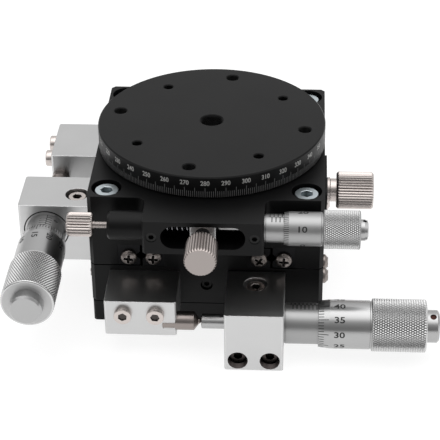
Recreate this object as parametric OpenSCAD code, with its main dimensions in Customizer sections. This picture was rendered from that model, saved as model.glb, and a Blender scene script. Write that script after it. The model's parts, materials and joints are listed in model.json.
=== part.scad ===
// XY rotary positioning stage: two crossed-roller slides at right angles,
// each moved by a micrometer head, and a rotary table with a fine drive on top.
// Millimetres. +X to the right, +Y to the back, +Z up, origin under the base.
// The lower slide is drawn in its own place. The upper one is the same unit,
// turned a quarter clockwise and raised by one layer.

/* [Slide bodies] */
// Side of the square body
body_w = 60; // [58:0.5:64]
// Chamfer on the upright edges of the two carriages
edge_c = 1; // [0.4:0.1:2]
// Thickness of the base slab
slab_t = 6; // [6:0.25:8]
// Height of a carriage plate, rail pocket included
plate_t = 11.1; // [11:0.1:13]
// Gap between two layers that slide on each other
layer_gap = 0.3; // [0.3:0.05:0.6]
// How far the base stands back from the carriages on each side
base_inset = 0.1; // [0.1:0.05:0.6]
// Radius of the base's upright corners
base_corner_r = 1; // [0.6:0.1:3]
// Distance between the base's fixing holes
base_hole_pitch = 50; // [49:0.5:51]
// Wall diameter of a fixing hole tapped M4
tapped_m4_d = 3.3; // [3.2:0.1:3.6]

/* [Crossed-roller rails] */
// Width of the ridge between the rails
ridge_w = 21.4; // [20:0.2:22]
// Width of one rail
rail_w = 5.7; // [5.4:0.1:6]
// Height of one rail
rail_h = 6; // [5.8:0.1:6.2]
// Gap between the two rails of a pair
rail_gap = 0.6; // [0.55:0.05:0.8]
// Diameter of a roller
roller_d = 2; // [1.8:0.1:2.1]
// Length of a roller
roller_l = 1.9; // [1.7:0.05:1.9]
// Rollers in each row
rollers_per_row = 8; // [6:1:9]
// Distance between neighbouring rollers
roller_pitch = 5.5; // [4.5:0.1:5.6]
// Clearance between a roller and its track
roller_fit = 0.03; // [0.02:0.01:0.05]
// Thickness of the strip that spaces the rollers
cage_t = 0.35; // [0.3:0.05:0.35]
// Height of that strip
cage_h = 4.2; // [3.8:0.1:4.6]
// Length of that strip
cage_l = 44; // [43:1:48]

/* [Return springs] */
// Distance of each spring post from the middle of the slide
post_x = 18; // [17:0.5:19]
// Diameter of a spring post
post_d = 2; // [1.6:0.1:2.2]
// Outer diameter of the return spring
return_coil_d = 4; // [3.6:0.1:4.2]
// Wire of the return spring
return_wire_d = 0.5; // [0.4:0.05:0.55]
// Curls of the return spring
return_curls = 16; // [12:1:18]
// Length of the curled stretch
return_coil_l = 22; // [21:0.5:24]
// Depth of the spring's axis under the top of the ridge
spring_drop = 2.4; // [2.3:0.1:2.6]
// Width of the groove that holds the spring
spring_groove_w = 5; // [4.8:0.1:6]
// Room under the spring in its groove
spring_room = 0.4; // [0.35:0.05:0.6]

/* [Slide micrometers] */
// Distance of the micrometer's axis from the side of the body
mic_reach = 12; // [11.8:0.1:12.2]
// Height of the micrometer's axis in its unit
mic_z = 9.05; // [9:0.05:9.3]
// Travel of a slide to each side of the middle
slide_travel = 6.5; // [5:0.5:6.5]
// Diameter of the stem clamped in the block
stem_d = 8; // [7.6:0.1:8]
// Diameter of the graduated sleeve
sleeve_d = 10.4; // [10:0.1:10.8]
// Length of the sleeve outside the block
sleeve_l = 19.7; // [19:0.1:19.7]
// Diameter of the spindle
spindle_d = 3.8; // [3.4:0.1:4]
// Length of the spindle that stands out of the block towards the anvil
spindle_out = 6.1; // [5.8:0.1:6.4]
// Diameter of the thimble
thimble_d = 12.5; // [12:0.1:12.8]
// Wall left at the thimble's bevelled edge
thimble_lip = 0.25; // [0.2:0.05:0.35]
// Clearance between the sleeve and the thimble's bore
thimble_fit = 0.1; // [0.06:0.01:0.2]
// Length of the bevel that carries the divisions
bevel_l = 2.5; // [2:0.1:3]
// Distance from the block to the thimble's edge, lower slide
thimble_start = 8.6; // [8.4:0.1:9]
// How much further in the upper slide's thimble stands
upper_mic_in = 2.4; // [1.5:0.1:2.6]
// How much higher the upper slide's blocks sit on their layer
upper_lift = 0.95; // [0.7:0.05:1.1]
// How much further out the upper slide's head and anvil block stand
upper_out = 0.5; // [0:0.1:0.6]
// Length of the plain part of the thimble
thimble_plain_l = 13.4; // [12:0.1:14]
// Diameter of the knurled grip
grip_d = 13.4; // [12.8:0.1:14]
// Length of the knurled grip
grip_l = 13.7; // [13.7:0.1:15]
// Chamfer at both ends of the grip
grip_c = 0.5; // [0.2:0.1:0.8]
// Thickness of the thimble's end wall
thimble_wall = 4.9; // [4.6:0.1:5]
// Diameter of the end cap
cap_d = 8.3; // [7.6:0.1:9]
// Length of the end cap
cap_l = 3.2; // [2.6:0.1:4]
// Diameter of the small hole in the side of a cap
cap_hole_d = 1.6; // [1:0.1:1.8]
// Angle at which the lower cap's hole stands from upright
cap_hole_turn = 20; // [-45:5:45]

/* [Micrometer blocks] */
// Distance from the middle of the slide to the block
block_x = 5.5; // [5:0.1:6]
// Width of the block along the slide
block_w = 14.8; // [14.6:0.1:16]
// How far the block stands out from the body
block_reach = 20.2; // [19.6:0.1:21]
// Height of the block's top in its unit
block_top = 16.6; // [16.4:0.1:17.2]
// Height of the lower block's foot over the bench
block_foot = 0.1; // [0.1:0.1:0.5]
// Clearance between a block and the carriage that passes it
pass_gap = 0.35; // [0.3:0.05:0.6]
// Chamfer on the outer edges of the blocks
block_c = 0.4; // [0.2:0.1:0.8]
// Height of the fixing screws over the foot
block_screw_rise = 2.85; // [2.7:0.05:2.85]
// Distance between the two fixing screws
block_screw_pitch = 8.05; // [7.6:0.05:8.4]
// Depth of the counterbores of the fixing screws
block_bore_depth = 4.6; // [3.6:0.1:4.8]
// Distance of the clamp screw from the side of the body
clamp_screw_reach = 6.1; // [5.8:0.1:6.1]
// How far the upper block's clamp screw is moved towards the body and the thimble
upper_clamp_shift = 1.3; // [0:0.1:1.4]
// How far the upper block stands out from the body
upper_block_reach = 19.6; // [19.2:0.1:20.4]
// Width of the clamp slit
clamp_slit = 0.8; // [0.5:0.1:1]

/* [Anvil blocks] */
// Distance from the middle of the slide to the block's near face
anvil_x = 6.85; // [6.8:0.05:7.6]
// Width of the block along the slide
anvil_w = 18.15; // [17:0.05:19]
// How far the block stands out from the body
anvil_reach = 14.3; // [14:0.1:15]
// Height of the block
anvil_h = 10; // [9.4:0.1:10.4]
// Diameter of the anvil pin
anvil_pin_d = 4.8; // [4.4:0.1:5]
// Length of the pin's cone
anvil_cone_l = 1.1; // [0.8:0.1:1.3]
// Diameter of the flat at the end of the cone
anvil_tip_d = 1.9; // [1.6:0.1:2.2]
// Diameter of the hard ball in the pin's end
anvil_ball_d = 1.5; // [1.4:0.1:1.6]
// Depth of the pin's seat in the block
anvil_seat = 3.5; // [3:0.1:3.6]
// Distance of the nearer screw from the block's near face
anvil_screw_x = 5.25; // [5.2:0.05:6]
// Distance between the two screws
anvil_screw_pitch = 8.2; // [7.8:0.05:8.4]
// Height of the screws over the block's foot
anvil_screw_rise = 5.7; // [5.5:0.1:6]

/* [Slide locks] */
// Length of the lock plate
lock_plate_w = 22; // [21:0.5:24]
// Thickness of the lock plate
lock_plate_t = 0.8; // [0.6:0.1:1.2]
// Height of the plate's lower edge in its unit
lock_plate_low = 0.6; // [0.4:0.1:0.6]
// Height of the plate's upper edge in its unit
lock_plate_high = 16.9; // [16:0.1:17.2]
// Radius of the plate's corners
lock_plate_r = 1.5; // [0.5:0.1:2]
// Relief between the plate and the carriage that slides behind it
lock_relief = 0.3; // [0.3:0.05:0.4]
// Distance between the plate's two screws
lock_screw_pitch = 16; // [15:0.5:17]
// Height of the plate's screws in its unit
lock_screw_z = 2.9; // [2.9:0.05:3.2]
// Diameter of the knob's threaded stud
lock_stud_d = 3; // [2.5:0.1:3.2]
// How far the stud reaches into the carriage
lock_stud_in = 5.6; // [4:0.1:6]
// Diameter of the knob's flange
lock_flange_d = 6.9; // [6:0.1:8]
// Thickness of that flange
lock_flange_t = 0.8; // [0.5:0.1:1.2]
// Diameter of the neck between the flange and the knob
lock_neck_d = 6.3; // [5:0.1:6.8]
// Length of the neck
lock_neck_l = 1.7; // [1:0.1:2.5]
// Diameter of the knob
lock_knob_d = 10; // [9:0.1:11]
// Length of the knob
lock_knob_l = 9.9; // [8:0.1:12]
// Ridges round the knob
lock_knob_ridges = 40; // [32:4:48]
// Depth of the ridges on all the thumb knobs
ridge_depth = 0.28; // [0.15:0.01:0.35]

/* [Rotary base] */
// Thickness of the rotary base
rotary_t = 9.2; // [9.2:0.1:10]
// Half width of the nose in front
nose_half_w = 15; // [14.8:0.1:15.4]
// How far the nose stands out in front
nose_reach = 11.5; // [11:0.1:12]
// Radius where the nose meets the front
nose_fillet = 2.5; // [1.5:0.1:3.5]
// Thickness of the floor under the table's hub
rotary_floor = 1.6; // [1.4:0.1:1.8]
// Half width of the slot in the nose
slot_half_w = 10.5; // [10:0.1:10.8]
// Height of the slot
slot_h = 6.4; // [6.2:0.1:6.5]
// Distance between the corner screws
corner_pitch = 50.7; // [50:0.1:51]
// Diameter of the corner counterbores
corner_bore_d = 7.8; // [7.2:0.1:8]
// Depth of the corner counterbores
corner_bore_depth = 4.7; // [4.5:0.1:5]
// Gap round the parts that turn in the rotary base
turn_gap = 0.3; // [0.3:0.02:0.4]

/* [Rotary table] */
// Diameter of the table
table_d = 60; // [56:0.5:60]
// Thickness of the table's disc
table_t = 5.8; // [5.4:0.1:7]
// Chamfer round the top of the table
table_c = 0.3; // [0.1:0.05:0.8]
// Angle at which the table stands
table_angle = -10; // [-180:1:180]
// Pitch circle of the four large holes
large_pcd = 50; // [49:0.5:52]
// Distance between neighbours of the four small holes
small_pitch = 32; // [31:0.5:33]
// Angle from a large hole to the next small hole
small_turn = 45; // [40:1:50]
// Wall diameter of a small hole tapped M3
small_hole_d = 2.5; // [2.4:0.1:2.8]
// Diameter of the centre hole
centre_hole_d = 6; // [5:0.1:8]
// Countersink at the mouths of the holes
mouth_c = 0.25; // [0.1:0.05:0.4]
// Outer diameter of the hub under the table
hub_d = 36; // [35.6:0.1:36.4]
// Diameter of the shoulder over the clamp ring
shoulder_d = 40; // [38:0.5:42]
// Outer diameter of the clamp ring
ring_d = 46; // [45:0.2:46]
// Running clearance of shafts and rings in their bores
run_fit = 0.05; // [0.02:0.01:0.08]

/* [Table bearing] */
// Bore of the bearing
bearing_bore = 20; // [19.6:0.1:20.4]
// Outer diameter of the bearing
bearing_d = 27; // [26.8:0.1:27.4]
// Width of the bearing
bearing_w = 4; // [3.6:0.1:4]
// Thickness of each bearing ring
race_t = 1.2; // [1.1:0.05:1.25]
// Diameter of a bearing ball
ball_d = 2; // [1.8:0.05:2]
// Balls in the bearing
ball_count = 14; // [10:1:16]
// Clearance between a ball and its race
ball_fit = 0.05; // [0.04:0.01:0.08]
// Width of the retaining ring over the bearing
snap_w = 0.7; // [0.5:0.05:0.8]
// Depth of the retaining ring's groove
snap_depth = 0.5; // [0.3:0.05:0.6]

/* [Fine drive] */
// Distance of the fine drive's axis from the table's axis
fine_y = 36; // [35.8:0.1:36.2]
// Width of the lever block
lever_w = 6.3; // [5.8:0.1:6.6]
// Distance of the lever's front from the table's axis
lever_front = 41; // [40.4:0.1:41.4]
// Thickness of the clamp ring where the lever is seated
ring_flat = 22.4; // [22.2:0.1:22.6]
// Side of the lever's square tenon
tenon_w = 4.4; // [4:0.1:4.6]
// Length of the tenon
tenon_l = 2.4; // [2:0.1:2.6]
// Diameter of the clamp stud and its pad
clamp_stud_d = 2.5; // [2.2:0.1:2.8]
// Diameter of the stem of the fine head
fine_stem_d = 6; // [5.6:0.1:6.2]
// Diameter of the fine head's sleeve
fine_sleeve_d = 7.15; // [6.9:0.05:7.4]
// Length of the fine head's sleeve
fine_sleeve_l = 15; // [14:0.1:15]
// Diameter of the fine head's spindle
fine_spindle_d = 2; // [1.6:0.1:2.4]
// Distance from the nose to the fine thimble's edge
fine_thimble_start = 4.9; // [4.7:0.1:5]
// Diameter of the fine thimble
fine_thimble_d = 8.9; // [8.6:0.1:9.4]
// Length of the plain part of the fine thimble
fine_plain_l = 9.7; // [9:0.1:10]
// Length of the fine thimble's bevel
fine_bevel_l = 1.2; // [0.8:0.1:1.6]
// Diameter of the fine grip
fine_grip_d = 9.7; // [9.4:0.1:10.2]
// Length of the fine grip
fine_grip_l = 9.2; // [9:0.1:10]
// Thickness of the fine thimble's end wall
fine_wall = 5; // [4.8:0.1:5.2]
// Diameter of the fine head's end cap
fine_cap_d = 5.35; // [5:0.05:6]
// Diameter of the small hole in the side of the fine cap
fine_cap_hole_d = 1; // [0.8:0.1:1.2]
// Length of the fine head's end cap
fine_cap_l = 1.95; // [1.6:0.05:2.4]
// Largest swing of the lever, each way
fine_swing = 5; // [3:0.5:5]
// Diameter of the plunger boss
boss_d = 7.4; // [7:0.1:8]
// Length of the plunger boss
boss_l = 9; // [8.6:0.1:10]
// Chamfer at the boss's end
boss_c = 0.6; // [0.3:0.1:1]
// Bore of the boss
boss_bore = 3.4; // [3.2:0.1:3.6]
// Depth of that bore behind the nose's side
boss_bore_l = 5; // [4:0.1:6]
// Outer diameter of the lever spring
lever_coil_d = 3; // [2.6:0.1:3]
// Wire of the lever spring
lever_wire_d = 0.5; // [0.4:0.05:0.55]
// Curls of the lever spring
lever_curls = 12; // [9:1:13]

/* [Thumb screws] */
// Diameter of the front clamp knob
front_knob_d = 8.1; // [7.6:0.1:8.6]
// Length of the front clamp knob
front_knob_l = 8.3; // [7:0.1:10]
// Distance from the lever's front to that knob
front_neck_l = 3; // [2.6:0.1:3.4]
// Diameter of the neck behind that knob
front_neck_d = 4; // [3.4:0.1:5]
// Ridges round the front knob
front_knob_ridges = 32; // [28:4:40]
// Diameter of the plunger knob
side_knob_d = 6.3; // [5.8:0.1:6.6]
// Length of the plunger knob
side_knob_l = 6.6; // [5.6:0.1:8]
// Distance from the boss to that knob
side_neck_l = 3.8; // [3.4:0.1:4.2]
// Ridges round the plunger knob
side_knob_ridges = 24; // [20:4:28]
// Diameter of the plunger screw
plunger_d = 1.9; // [1.6:0.1:2.1]
// Diameter of the spring seat on the plunger screw
plunger_seat_d = 3; // [2.8:0.05:3.1]
// Thickness of that seat
plunger_seat_t = 0.6; // [0.5:0.1:0.8]
// Chamfer on the ends of the thumb knobs
knob_c = 0.5; // [0.2:0.1:0.8]

/* [Screws] */
// Radial room round a screw in its hole
screw_fit = 0.05; // [0.03:0.01:0.1]
// Diameter of the M2.5 screws
m25_d = 2.5; // [2.3:0.05:2.5]
// Head diameter of the M2.5 screws
m25_head_d = 4.5; // [4.3:0.05:4.6]
// Head height of the M2.5 screws
m25_head_h = 2.5; // [2.2:0.05:2.55]
// Counterbore diameter for the M2.5 screws in the blocks
m25_bore_d = 5.1; // [4.9:0.05:5.1]
// Diameter of the clamp screws
m3_d = 3; // [2.8:0.05:3]
// Head diameter of the clamp screws
m3_head_d = 5.5; // [5.2:0.05:5.6]
// Head height of the clamp screws
m3_head_h = 3; // [2.6:0.05:3]
// Counterbore diameter of the clamp screws
m3_bore_d = 6.1; // [5.9:0.05:6.2]
// Counterbore depth of the clamp screws
m3_bore_depth = 3.6; // [3.4:0.05:3.8]
// Diameter of the corner screws
m4_d = 4; // [3.8:0.05:4]
// Head diameter of the corner screws
m4_head_d = 6.8; // [6.5:0.05:7]
// Head height of the corner screws
m4_head_h = 4; // [3.8:0.05:4.2]
// Diameter of the pan heads on the rail ends
pan_head_d = 4.4; // [4.2:0.05:4.6]
// Height of those pan heads
pan_head_h = 1.8; // [1.6:0.05:2]
// Diameter of the lock plate's screws
m2_d = 2; // [1.8:0.05:2]
// Head diameter of the lock plate's screws
m2_head_d = 3.8; // [3.5:0.05:3.9]
// Head height of the lock plate's screws
m2_head_h = 1.3; // [1.1:0.05:1.4]

/* [Hidden] */

$fn = 64;
over = 1;               // overrun of every cut
touch = 0.03;           // gap between two moving parts that push on each other
step_c = 0.2;           // fine chamfer on turned ends

// heights in one slide unit, from the underside of the base
base_w = body_w - 2 * base_inset;
side = body_w / 2;
mid_z = slab_t + layer_gap;
pitch_z = plate_t + layer_gap;
ceiling_z = mid_z + rail_h;
deck_t = plate_t - rail_h;
track_z = slab_t + (rail_h + layer_gap) / 2;
rotary_z = mid_z + pitch_z + plate_t;

// places across a slide unit
inner_y = (ridge_w + rail_w) / 2;
track_y = ridge_w / 2 + rail_w + rail_gap / 2;
outer_y = track_y + (rail_gap + rail_w) / 2;
pocket_w = ridge_w + 4 * rail_w + 2 * rail_gap;
rail_l = base_w;
track_side = roller_d + 2 * roller_fit;

// rail screws
rail_screw_in = 3;
inner_screw_x = 14;
corner_room = 0.3;       // between a rail screw's head and the corner screw beside it
outer_screw_x = (corner_pitch - m4_d - m25_head_d) / 2 - corner_room;
end_screw_l = 3;
inner_seat_z = slab_t - deck_t + m25_head_h;
outer_seat_z = mid_z + plate_t - m25_head_h;

// return spring
spring_z = slab_t + rail_h - spring_drop;
spring_floor = spring_z - return_coil_d / 2 - spring_room;
post_room = 0.9;
post_tip_room = 0.3;
return_lead = 0.75;

// micrometer
mic_y = side + mic_reach;
block_end = block_x + block_w;
block_mid = block_x + block_w / 2;
block_screw_z = block_foot + block_screw_rise;
tip_x = block_x - spindle_out;
cap_stem_d = 4;
cap_stem_l = 2.4;
spindle_in_wall = 1.6;
block_hole_l = 5.5;
anvil_screw_z = mid_z + anvil_screw_rise;
clamp_screw_low = 4.8;

// slide lock
lock_z = mid_z + plate_t / 2;
lock_slot_h = lock_stud_d + 2 * lock_relief;
lock_slot_half = slide_travel + lock_slot_h / 2;
lock_screw_l = 3.6;
lock_gap = 0.1;

// rotary base and table
table_z = rotary_z + rotary_t + turn_gap;
table_top = table_z + table_t;
rotary_top = rotary_z + rotary_t;
floor_z = rotary_z + rotary_floor;
slot_top = floor_z + slot_h;
fine_z = floor_z + slot_h / 2 - step_c / 2;
cavity_r = ring_d / 2 + turn_gap;
ring_low = floor_z + turn_gap;
ring_high = slot_top - turn_gap;
shoulder_z = slot_top;
hub_low = floor_z + 2 * turn_gap;
bearing_z = floor_z + 3 * turn_gap;
bearing_top = bearing_z + bearing_w;
spigot_shoulder_d = bearing_bore + 2 * race_t;
spigot_top = bearing_top + snap_w + 2 * snap_depth;
hub_bore_d = bearing_d - 2 * race_t;
ball_r_pitch = (bearing_bore + bearing_d) / 4;
room_d = 10;
small_r = small_pitch / sqrt(2);
corner_len = 10;
corner_seat_z = rotary_top - corner_bore_depth;

// fine drive
nose_front = side + nose_reach;
fine_stroke = fine_y * tan(fine_swing);
fine_tip_x = lever_w / 2 + run_fit;
fine_thimble_x = nose_half_w + fine_thimble_start;
fine_grip_x = fine_thimble_x + fine_plain_l;
fine_end_x = fine_grip_x + fine_grip_l;
fine_cap_stem_d = 2.4;
fine_cap_stem_l = 1.6;
fine_in_wall = 2.6;
set_screw_d = 2.6;
set_screw_hex = 1.5;
seat_x = nose_half_w + boss_bore_l - 2 * plunger_seat_t;
lever_spring_l = seat_x - lever_w / 2;
tenon_end = ring_flat - tenon_l;

// colours
black_anodised = [0.09, 0.09, 0.1];
clear_anodised = [0.74, 0.74, 0.75];
satin_chrome = [0.72, 0.72, 0.72];
warm_nickel = [0.62, 0.56, 0.55];
blue_zinc = [0.6, 0.68, 0.74];
rail_steel = [0.55, 0.56, 0.58];
cage_brass = [0.72, 0.6, 0.35];
spring_steel = [0.45, 0.46, 0.5];

// the upper slide unit, from the lower one's place
module upper_unit() {
    translate([0, 0, pitch_z]) rotate([0, 0, -90]) children();
}

// the blocks of the upper unit sit a little higher on their layer
module lifted() {
    translate([0, 0, upper_lift]) children();
}

// and its head also stands a little further out
module head_place() {
    translate([0, -upper_out, upper_lift]) children();
}

// both signs of X, and of Y
module both_x() {
    for (k = [0, 1]) mirror([k, 0, 0]) children();
}
module both_y() {
    for (k = [0, 1]) mirror([0, k, 0]) children();
}

// a solid turned about the X axis, from points [radius, place along X]
module turned_x(points) {
    rotate([0, 90, 0]) rotate_extrude() polygon(points);
}

module chamfered_square(w, c) {
    h = w / 2;
    polygon([[h - c, h], [h, h - c], [h, c - h], [h - c, -h],
        [c - h, -h], [-h, c - h], [-h, h - c], [c - h, h]]);
}

module rounded_square(w, r) {
    square([w, w - 2 * r], center = true);
    square([w - 2 * r, w], center = true);
    for (sx = [-1, 1], sy = [-1, 1]) translate([sx * (w / 2 - r), sy * (w / 2 - r)]) circle(r = r);
}

// screws stand on their seat, head up, shank down
module socket_screw(d, head_d, head_h, l) {
    hex_d = head_d * 0.52;
    hex_h = head_h * 0.55;
    difference() {
        union() {
            cylinder(d = head_d, h = head_h - step_c);
            translate([0, 0, head_h - step_c]) cylinder(d1 = head_d, d2 = head_d - 2 * step_c, h = step_c);
            translate([0, 0, -l]) cylinder(d = d, h = l);
        }
        translate([0, 0, head_h - hex_h]) cylinder(d = hex_d, h = hex_h + over, $fn = 6);
    }
}

module pan_screw(d, head_d, head_h, l) {
    edge_h = head_h * 0.45;
    dome = head_h - edge_h;
    dome_r = (pow(head_d / 2, 2) + pow(dome, 2)) / (2 * dome);
    cross_l = head_d * 0.52;
    cross_w = head_d * 0.12;
    cross_h = head_h * 0.55;
    difference() {
        union() {
            intersection() {
                cylinder(d = head_d, h = head_h);
                translate([0, 0, head_h - dome_r]) sphere(r = dome_r);
            }
            translate([0, 0, -l]) cylinder(d = d, h = l);
        }
        for (a = [0, 90]) rotate([0, 0, a]) translate([-cross_l / 2, -cross_w / 2, head_h - cross_h])
            cube([cross_l, cross_w, cross_h + over]);
    }
}

// room for a screw and its head, from the seat
module screw_room(d, head_d, head_h, l) {
    cylinder(d = head_d, h = head_h);
    translate([0, 0, -l]) cylinder(d = d + 2 * screw_fit, h = l + over);
}

// a straight-knurled grip along +Z, with both ends chamfered
module ridged_grip(d, l, ridges) {
    r = d / 2;
    intersection() {
        linear_extrude(l) polygon([for (i = [0 : 2 * ridges - 1])
            (r - ridge_depth * (i % 2)) * [cos(180 * i / ridges), sin(180 * i / ridges)]]);
        rotate_extrude() polygon([[0, 0], [r - knob_c, 0], [r, knob_c], [r, l - knob_c],
            [r - knob_c, l], [0, l]]);
    }
}

// coil springs: one unbroken round wire along X, from a list of points
function unit_vector(v) = v / norm(v);
function share_along(t, lead, curls) = max(0, min(1, (t + lead) / lead, (curls + lead - t) / lead));
function coil_point(t, r, pitch, lead, curls) =
    let (s = share_along(t, lead, curls))
    [pitch * (t - curls / 2), r * s * cos(360 * t), r * s * sin(360 * t)];
function least_gap(points, skip, wire) = min([for (i = [0 : len(points) - 1 - skip])
    for (j = [i + skip : len(points) - 1]) norm(points[i] - points[j])]) - wire;

module wire(points, turns, d) {
    n = len(points);
    sides = 6;
    tangents = [for (i = [0 : n - 1]) unit_vector(points[min(i + 1, n - 1)] - points[max(i - 1, 0)])];
    outward = [for (t = turns) [0, cos(360 * t), sin(360 * t)]];
    across = [for (i = [0 : n - 1]) unit_vector(cross(tangents[i], outward[i]))];
    up = [for (i = [0 : n - 1]) cross(across[i], tangents[i])];
    rim = [for (i = [0 : n - 1]) for (k = [0 : sides - 1])
        points[i] + d / 2 * (cos(360 * k / sides) * up[i] + sin(360 * k / sides) * across[i])];
    skin = [for (i = [0 : n - 2]) for (k = [0 : sides - 1])
        let (a = i * sides + k, b = i * sides + (k + 1) % sides)
        each [[a, b, b + sides], [a, b + sides, a + sides]]];
    first = [for (k = [1 : sides - 2]) [0, k + 1, k]];
    last_at = (n - 1) * sides;
    last = [for (k = [1 : sides - 2]) [last_at, last_at + k, last_at + k + 1]];
    polyhedron(points = rim, faces = concat(skin, first, last), convexity = 8);
}

// rails, rollers and cages of one slide unit
module ridge(l) {
    translate([-l / 2, -ridge_w / 2, slab_t / 2]) cube([l, ridge_w, slab_t / 2 + rail_h]);
}

module rail_pocket() {
    translate([-side - over, -pocket_w / 2, mid_z - over])
        cube([body_w + 2 * over, pocket_w, rail_h + over]);
}

module track_cut() {
    translate([0, track_y, track_z]) rotate([45, 0, 0])
        cube([rail_l + 2 * over, track_side, track_side], center = true);
}

module end_screw_at(y) {
    both_x() translate([rail_l / 2, y, track_z]) rotate([0, 90, 0]) children();
}

module inner_rails() {
    color(rail_steel) both_y() difference() {
        translate([-rail_l / 2, ridge_w / 2, slab_t]) cube([rail_l, rail_w, rail_h]);
        track_cut();
        end_screw_at(inner_y) screw_room(m25_d, pan_head_d, pan_head_h, end_screw_l);
        both_x() translate([inner_screw_x, inner_y, slab_t - over])
            cylinder(d = m25_d + 2 * screw_fit, h = rail_screw_in + over);
    }
}

module outer_rails() {
    color(rail_steel) both_y() difference() {
        translate([-rail_l / 2, track_y + rail_gap / 2, mid_z]) cube([rail_l, rail_w, rail_h]);
        track_cut();
        end_screw_at(outer_y) screw_room(m25_d, pan_head_d, pan_head_h, end_screw_l);
        both_x() translate([outer_screw_x, outer_y, ceiling_z - rail_screw_in])
            cylinder(d = m25_d + 2 * screw_fit, h = rail_screw_in + over);
    }
}

function roller_x(i) = (i - (rollers_per_row - 1) / 2) * roller_pitch;

module roller_cages() {
    window_w = roller_d + 2 * roller_fit;
    window_h = (roller_d + roller_l) / sqrt(2) + 4 * roller_fit;
    color(cage_brass) both_y() difference() {
        translate([-cage_l / 2, track_y - cage_t / 2, track_z - cage_h / 2]) cube([cage_l, cage_t, cage_h]);
        for (i = [0 : rollers_per_row - 1])
            translate([roller_x(i) - window_w / 2, track_y - over, track_z - window_h / 2])
                cube([window_w, 2 * over, window_h]);
    }
}

module rollers() {
    color(rail_steel) both_y() for (i = [0 : rollers_per_row - 1])
        translate([roller_x(i), track_y, track_z]) rotate([i % 2 == 0 ? 45 : -45, 0, 0])
            cylinder(d = roller_d, h = roller_l, center = true);
}

module inner_rail_screws() {
    color(warm_nickel) both_y() {
        end_screw_at(inner_y) pan_screw(m25_d, pan_head_d, pan_head_h, end_screw_l);
        both_x() translate([inner_screw_x, inner_y, inner_seat_z]) mirror([0, 0, 1])
            socket_screw(m25_d, m25_head_d, m25_head_h, slab_t - inner_seat_z + rail_screw_in - over / 2);
    }
}

module inner_rail_screw_rooms() {
    both_y() both_x() translate([inner_screw_x, inner_y, inner_seat_z]) mirror([0, 0, 1])
        screw_room(m25_d, m25_head_d + 2 * screw_fit, inner_seat_z + over, slab_t - inner_seat_z + over);
}

module outer_rail_screws() {
    color(warm_nickel) both_y() {
        end_screw_at(outer_y) pan_screw(m25_d, pan_head_d, pan_head_h, end_screw_l);
        both_x() translate([outer_screw_x, outer_y, outer_seat_z])
            socket_screw(m25_d, m25_head_d, m25_head_h, outer_seat_z - ceiling_z + rail_screw_in - over / 2);
    }
}

module outer_rail_screw_rooms() {
    both_y() both_x() translate([outer_screw_x, outer_y, outer_seat_z])
        screw_room(m25_d, m25_head_d + 2 * screw_fit, m25_head_h + over, outer_seat_z - ceiling_z + over);
}

// return spring: its groove in the ridge, a post at each end, the coil between
module spring_groove() {
    reach = post_x + slide_travel + post_d / 2 + post_room;
    tail = post_x + post_d / 2 + post_room;
    translate([-reach, -spring_groove_w / 2, spring_floor])
        cube([reach + tail, spring_groove_w, slab_t + rail_h + over - spring_floor]);
}

module fixed_post() {
    translate([post_x, 0, spring_floor - step_c])
        cylinder(d = post_d, h = spring_z + return_coil_d / 2 - spring_floor + step_c);
}

module moving_post() {
    low = spring_floor + post_tip_room;
    translate([-post_x, 0, low]) cylinder(d = post_d, h = ceiling_z + step_c - low);
}

return_turns = [for (k = [-8 * return_lead : 8 * (return_curls + return_lead)]) k / 8];
return_coil = [for (t = return_turns) coil_point(t, (return_coil_d - return_wire_d) / 2,
    return_coil_l / return_curls, return_lead, return_curls)];
return_end_x = post_x - post_d / 2 - touch;
return_points = concat([[-return_end_x, 0, 0]], return_coil, [[return_end_x, 0, 0]]);
return_at = concat([return_turns[0]], return_turns, [return_turns[len(return_turns) - 1]]);
echo(return_spring_gap = least_gap(return_coil, 5, return_wire_d));

module return_spring() {
    color(spring_steel) translate([0, 0, spring_z]) wire(return_points, return_at, return_wire_d);
}

// micrometer head and its block
module micrometer_block(seat, lift, reach, out, shift) {
    back = side + pass_gap;
    front = side + reach;
    color(clear_anodised) translate([0, 0, lift]) difference() {
        union() {
            translate([0, 0, block_foot]) linear_extrude(block_top - block_foot) polygon([
                [block_x, -back], [block_x, block_c - front], [block_x + block_c, -front],
                [block_end - block_c, -front], [block_end, block_c - front], [block_end, -back]]);
            translate([block_x, -back - block_c, block_foot])
                cube([block_w, back + block_c - seat, slab_t - lift - block_foot]);
        }
        translate([0, -mic_y - out, mic_z]) rotate([0, 90, 0])
            cylinder(d = stem_d + 2 * run_fit, h = block_end + over);
        translate([block_x - over, -mic_y - out, mic_z - clamp_slit / 2])
            cube([block_w + 2 * over, mic_reach + out, clamp_slit]);
        for (x = block_screw_places()) translate([x, block_bore_depth - front, block_screw_z])
            rotate([90, 0, 0]) screw_room(m25_d, m25_bore_d, block_bore_depth + over, front);
        translate([block_mid + shift, shift - side - clamp_screw_reach, block_top - m3_bore_depth])
            screw_room(m3_d, m3_bore_d, m3_bore_depth + over, block_top - m3_bore_depth - clamp_screw_low);
    }
}

function block_screw_places() = [block_mid - block_screw_pitch / 2, block_mid + block_screw_pitch / 2];

module block_screws(reach, shift) {
    front = side + reach;
    l = front - block_bore_depth - side + block_hole_l - layer_gap;
    color(warm_nickel) {
        for (x = block_screw_places()) translate([x, block_bore_depth - front, block_screw_z])
            rotate([90, 0, 0]) socket_screw(m25_d, m25_head_d, m25_head_h, l);
        translate([block_mid + shift, shift - side - clamp_screw_reach, block_top - m3_bore_depth])
            socket_screw(m3_d, m3_head_d, m3_head_h, block_top - m3_bore_depth - clamp_screw_low);
    }
}

module block_screw_holes() {
    for (x = block_screw_places()) translate([x, block_hole_l - side, block_screw_z])
        rotate([90, 0, 0]) cylinder(d = m25_d + 2 * screw_fit, h = block_hole_l + over);
}

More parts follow.
